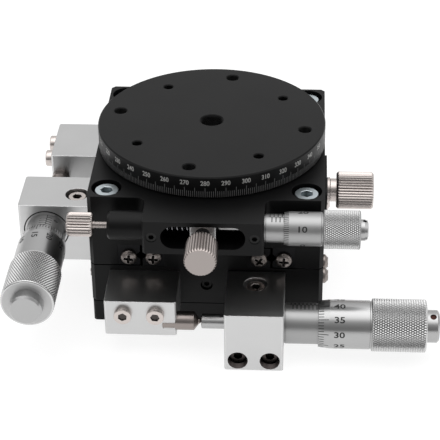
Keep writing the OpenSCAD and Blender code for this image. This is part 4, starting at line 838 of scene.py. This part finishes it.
def railScrews(unit, row):
    # at each rail's end a pan head that holds the strip in, and the socket screw that holds the rail
    put, way = unit["put"], unit["way"]
    parts = []
    for (sy, sx), turn in zip(((-1, -1), (-1, 1), (1, -1), (1, 1)), row["turns"]):
        parts.append(panScrew(put((sx * railHeads["end"], sy * row["y"], railHeads["trackZ"])),
                              way((sx, 0, 0)), *railHeads["pan"], turn))
        parts.append(socketScrew(put((sx * row["x"], sy * row["y"], row["seat"])), way((0, 0, row["up"])),
                                 *railHeads["socket"], railHeads["socketTurn"]))
    return joined(parts)


def screwPiece(name, parts, body, metal, node):
    newPiece(name, joined(parts), body, metals[metal], (node,))


for side, unit in units.items():
    for row, body in (("inner", unit["low"]), ("outer", unit["high"])):
        screwPiece(side + row.capitalize() + "RailScrewHeads", [railScrews(unit, railRows[row])], body,
                   "panNickel", side + "_" + row + "_rail_screws")

clampHead = {"place": (12.9, -36.1, 13.0), "size": (3.0, 4.9, 3.0, 8.2), "turn": 0.1}
fixingHeads = {"x": (8.875, 16.925), "z": 2.95, "seatIn": 4.6, "tip": 29.4, "head": (2.5, 4.5, 2.5),
               "turns": (0.2, 0.8), "thread": (2.54, 2.36, 0.05, 2.0)}
anvilHeads = {"x": (-12.1, -20.3), "y": -44.3, "z": 12.2, "head": (2.5, 4.5), "length": 19.5,
              "turns": (0.6, 0.1)}
plateHeads = {"x": (8, -8), "y": 30.8, "z": 2.9, "size": (2.0, 3.8, 1.3, 4.4), "turns": (0.4, 1.1)}
for side, k in units.items():
    put, way, reach, lift, shift = k["put"], k["way"], k["reach"], k["lift"], k["shift"]
    front, blockScrews = way((0, -1, 0)), side + "_block_screws"
    x, y, z = clampHead["place"]
    place = put((x + shift, y + shift, z + lift))
    parts = [socketScrew(place, (0, 0, 1), *clampHead["size"], clampHead["turn"])]
    screwPiece(side + "ClampScrewHead", parts, k["low"], "warmNickel", blockScrews)
    h = fixingHeads
    parts = [socketScrew(put((x, h["seatIn"] - reach, h["z"] + lift)), front, *h["head"],
                         reach - h["tip"], turn) for x, turn in zip(h["x"], h["turns"])]
    parts += [boreThread(put((x, -reach, h["z"] + lift)), front, *h["thread"]) for x in h["x"]]
    screwPiece(side + "BlockScrewHeads", parts, k["low"], "blackOxide", blockScrews)
    h = anvilHeads
    parts = [socketScrew(put((x, h["y"] - k["out"], h["z"] + lift)), front, *h["head"], k["anvilH"],
                         h["length"] + k["out"], turn) for x, turn in zip(h["x"], h["turns"])]
    screwPiece(side + "AnvilScrewHeads", parts, k["high"], "warmNickel", side + "_anvil_screws")
    h = plateHeads
    parts = [panScrew(put((x, h["y"], h["z"])), way((0, 1, 0)), *h["size"], turn)
             for x, turn in zip(h["x"], h["turns"])]
    screwPiece(side + "LockPlateScrewHeads", parts, k["low"], "warmNickel", side + "_lock_plate_screws")
cornerHeads = {"half": 25.35, "seat": 33.3, "size": (4.0, 6.3, 4.0, 10.0),
               "turns": {(-1, -1): 0.1, (1, -1): 0.5, (1, 1): 0.9, (-1, 1): 0.3}}
corners = [socketScrew((x * cornerHeads["half"], y * cornerHeads["half"], cornerHeads["seat"]), (0, 0, 1),
                       *cornerHeads["size"], turn) for (x, y), turn in cornerHeads["turns"].items()]
newPiece("cornerScrewHeads", joined(corners), "y_carriage", metals["blueZinc"], ("corner_screws",))
print("screws made")


# Holes
plug = {"y": -29.4, "z": 11.85, "radius": 1.45, "length": 2.4, "bevel": 0.15, "socket": 1.3, "deep": 0.9}


def plugMesh(unit, k):
    # a black set screw a little inside the spare hole that faces the lock's, with a six-sided socket
    six, r, c = hexOutline(k["socket"]), k["radius"], k["bevel"]
    rings = [(0.0, -k["length"]), (r, -k["length"]), (r, -c), (r - c, 0), (six, 0), (six, -k["deep"], 0.8),
             (0.0, -k["deep"] - 0.1, 1)]
    return shapedRings(screwAxis(unit["put"]((0, k["y"], k["z"])), unit["way"]((0, -1, 0))), rings)


def shadeDisc(axis, radius, along, rise, segments):
    # a very flat cone of painted shade that covers a hole's bottom
    return turned(axis, [[radius, along], [0, along + rise]], segments)


for side, unit in units.items():
    newPiece(side + "SpareHoleScrew", plugMesh(unit, plug), unit["high"], metals["blackAnodised"])
tableTop = 44.1
centreThread = (2.99, 2.75, 0.35, 3.6)
tableHoles = [{"from": 25.0, "turn": -10, "thread": (1.64, 1.47, 0.3, 3.2)},
              {"from": 22.627, "turn": 35, "thread": (1.24, 1.12, 0.3, 2.6)}]
parts = [boreThread((0, 0, tableTop), (0, 0, 1), *centreThread)]
for i in range(4):
    for k in tableHoles:
        a = math.radians(k["turn"] + 90 * i)
        place = (k["from"] * math.cos(a), k["from"] * math.sin(a), tableTop)
        parts.append(boreThread(place, (0, 0, 1), *k["thread"]))
newPiece("tableHoleThreads", joined(parts), "table", metals["holeThread"])
# a reddish-brown disc of painted shade in the cap's small side hole
capHole = {"cap": 4.15, "angle": math.radians(70), "along": 57.6, "radius": 0.76, "deep": 0.45}
way = toWorld(xHead, 1.0, capHole["angle"], 0) - xHead["origin"]
axis = axisFrame(toWorld(xHead, capHole["cap"], capHole["angle"], capHole["along"]), (1, 0, 0),
                 np.cross(way, (1, 0, 0)), way)
newPiece("xCapHoleShade", shadeDisc(axis, capHole["radius"], -capHole["deep"], -0.01, 48), "x_thimble",
         rustShade)
leverHole = {"z": 34.4, "y": 41.015, "radius": 1.9}
axis = axisFrame((0, 0, leverHole["z"]), (1, 0, 0), (0, 0, 1), (0, -1, 0))
newPiece("leverHoleShade", shadeDisc(axis, leverHole["radius"], leverHole["y"], 0.001, 64), "clamp_lever",
         darkShade)
print("holes made")


# Springs
returnSpring = {"radius": 1.75, "wire": 0.25, "curls": 16, "length": 22, "lead": 0.75, "end": 16.97,
                "from": 16, "to": -16}
springs = {
    "x_return_spring": dict(returnSpring, bodies=("base", "x_carriage"),
                            axis=axisFrame((0, 0, 9.6), (0, 1, 0), (0, 0, 1), (1, 0, 0))),
    "y_return_spring": dict(returnSpring, bodies=("x_carriage", "y_carriage"),
                            axis=axisFrame((0, 0, 21.0), (1, 0, 0), (0, 0, 1), (0, -1, 0))),
    "lever_spring": {"radius": 1.25, "wire": 0.25, "curls": 12, "length": 15.09, "lead": 0, "end": None,
                     "from": -7.3, "to": 7.3, "bodies": ("y_carriage", "clamp_lever"),
                     "axis": axisFrame((-10.975, -36, 33.5), (0, 1, 0), (0, 0, 1), (1, 0, 0))},
}
pointsEachCurl = 28


def springPath(k):
    # the angle grows evenly along the axis; on a tension spring the radius shrinks to the axis at both ends
    curls, lead = k["curls"], k["lead"]
    t = np.linspace(-lead, curls + lead, int((curls + 2 * lead) * pointsEachCurl) + 1)
    share = np.ones_like(t)
    if lead:
        share = np.clip(np.minimum((t + lead) / lead, (curls + lead - t) / lead), 0, 1)
    s = k["length"] / curls * (t - curls / 2)
    r = k["radius"] * share
    path = np.stack([s, r * np.cos(2 * np.pi * t), r * np.sin(2 * np.pi * t)], -1)
    if k["end"]:
        path = np.concatenate([[[-k["end"], 0, 0]], path, [[k["end"], 0, 0]]])
    return path


def tubeAlong(axis, path, radius, sides=10):
    # a round section is carried along the path, square to it, and kept from twisting by the axis
    tangent = np.gradient(path, axis=0)
    tangent /= np.linalg.norm(tangent, axis=1)[:, None]
    guide = np.array([1.0, 0, 0]) + 0 * tangent
    across = np.cross(tangent, guide)
    size = np.linalg.norm(across, axis=1)[:, None]
    across = np.where(size > 1e-3, across / np.maximum(size, 1e-9), np.array([0, 1.0, 0]))
    other = np.cross(tangent, across)
    a = np.linspace(0, 2 * np.pi, sides, endpoint=False)
    ring = path[:, None, :] + radius * (np.cos(a)[None, :, None] * across[:, None, :]
                                        + np.sin(a)[None, :, None] * other[:, None, :])
    caps = [path[:1, None, :] + 0 * ring[:1], ring, path[-1:, None, :] + 0 * ring[-1:]]
    p = np.concatenate(caps)
    basis = np.stack([axis["along"], axis["out"], axis["up"]])
    points = axis["origin"] + p.reshape(-1, 3) @ basis
    faces = gridFaces(len(p), sides, True)
    if np.linalg.det(basis) < 0:
        faces = faces[:, ::-1]
    return points, faces


for node, k in springs.items():
    # each coil is wound once, in place, without a body
    coil = newPiece(node.replace("_", "") + "Wound", tubeAlong(k["axis"], springPath(k), k["wire"]), None,
                    metals["springSteel"], (node,), sharp=60)
    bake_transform(coil)
print("springs made")


# Floor, light and camera
studio = {"floorSize": 3.0, "floorZ": -0.0002, "floorColor": (0.25, 0.25, 0.25), "floorGlow": 0.84,
          "back": 0.62, "front": 0.1, "reach": 0.9, "rise": 0.46, "box": 2.0, "boxWay": (0.0, -0.02, 1.0),
          "boxRim": 0.74, "boxFull": 0.99}


def madeFloor():
    # a plain pale floor that glows a little, so that its far part stays white
    size, z = studio["floorSize"], studio["floorZ"]
    data = bpy.data.meshes.new("studioFloor")
    corners = [(-size, -size, z), (size, -size, z), (size, size, z), (-size, size, z)]
    data.from_pydata(corners, [], [(0, 1, 2, 3)])
    m = bpy.data.materials.new("paleFloor")
    m.use_nodes = True
    shader = m.node_tree.nodes["Principled BSDF"]
    shader.inputs["Base Color"].default_value = (*studio["floorColor"], 1)
    shader.inputs["Roughness"].default_value = 0.9
    shader.inputs["Specular IOR Level"].default_value = 0.0
    shader.inputs["Emission Color"].default_value = (1, 1, 1, 1)
    shader.inputs["Emission Strength"].default_value = studio["floorGlow"]
    data.materials.append(m)
    obj = bpy.data.objects.new("studioFloor", data)
    bpy.context.scene.collection.objects.link(obj)


madeFloor()
# the surroundings are grey walls, brighter behind and overhead, with one large soft box above
world = bpy.data.worlds.new("softStudio")
bpy.context.scene.world = world
world.use_nodes = True
tree = world.node_tree
n, link = tree.nodes, tree.links.new
place = n.new("ShaderNodeTexCoord")
split = n.new("ShaderNodeSeparateXYZ")
link(place.outputs["Generated"], split.inputs["Vector"])
wall = n.new("ShaderNodeMath")
link(ranged(tree, split.outputs["Y"], studio["front"], studio["back"], -studio["reach"], studio["reach"]),
     wall.inputs[0])
link(ranged(tree, split.outputs["Z"], 0.0, studio["rise"]), wall.inputs[1])
near = n.new("ShaderNodeVectorMath")
near.operation = "DOT_PRODUCT"
near.inputs[1].default_value = studio["boxWay"]
link(place.outputs["Generated"], near.inputs[0])
soft = ranged(tree, near.outputs["Value"], 0.0, 1.0, studio["boxRim"], studio["boxFull"], "SMOOTHSTEP")
blend = n.new("ShaderNodeMix")
link(soft, blend.inputs["Factor"])
link(wall.outputs["Value"], blend.inputs["A"])
blend.inputs["B"].default_value = studio["box"]
link(blend.outputs["Result"], n["Background"].inputs["Strength"])
n["Background"].inputs["Color"].default_value = (1, 1, 1, 1)

aim = (0, 0, 0.02)
lamps = [
    {"name": "keyLeft", "place": (-0.55, -0.35, 0.75), "size": 0.7, "power": 0.9},
    {"name": "topSoft", "place": (0.1, 0.25, 0.95), "size": 0.9, "power": 0.6},
    {"name": "fillRight", "place": (0.7, -0.2, 0.5), "size": 0.6, "power": 0.8},
]
for lamp in lamps:
    light = bpy.data.lights.new(lamp["name"], "AREA")
    light.shape = "SQUARE"
    light.size = lamp["size"]
    light.energy = lamp["power"]
    obj = bpy.data.objects.new(lamp["name"], light)
    bpy.context.scene.collection.objects.link(obj)
    obj.location = lamp["place"]
    obj.rotation_euler = (Vector(aim) - Vector(lamp["place"])).to_track_quat("-Z", "Y").to_euler()

# the camera as fitted to the photo: metres and degrees, and focal length and frame in the photo's pixels
view = {"place": (0.02378, -0.37063, 0.24639), "yaw": -3.382, "pitch": 32.163, "roll": -0.646,
        "focal": 1598.3, "frame": 440, "sensor": 36, "near": 0.01}


def madeCamera(v):
    # forward comes from yaw and pitch, and roll turns the picture about it
    yaw, pitch, roll = (math.radians(v[k]) for k in ("yaw", "pitch", "roll"))
    ahead = Vector((math.sin(yaw) * math.cos(pitch), math.cos(yaw) * math.cos(pitch), -math.sin(pitch)))
    right = Vector((math.cos(yaw), -math.sin(yaw), 0))
    up = right.cross(ahead)
    r2 = math.cos(roll) * right + math.sin(roll) * up
    u2 = -math.sin(roll) * right + math.cos(roll) * up
    cam = bpy.data.cameras.new("studioCamera")
    cam.sensor_width = v["sensor"]
    cam.lens = v["focal"] / v["frame"] * v["sensor"]
    cam.clip_start = v["near"]
    obj = bpy.data.objects.new("studioCamera", cam)
    bpy.context.scene.collection.objects.link(obj)
    turn = Matrix((r2, u2, -ahead)).transposed().to_4x4()
    obj.matrix_world = Matrix.Translation(Vector(v["place"])) @ turn
    bpy.context.scene.camera = obj


madeCamera(view)
bpy.context.scene.view_settings.view_transform = "Standard"
print("studio made")
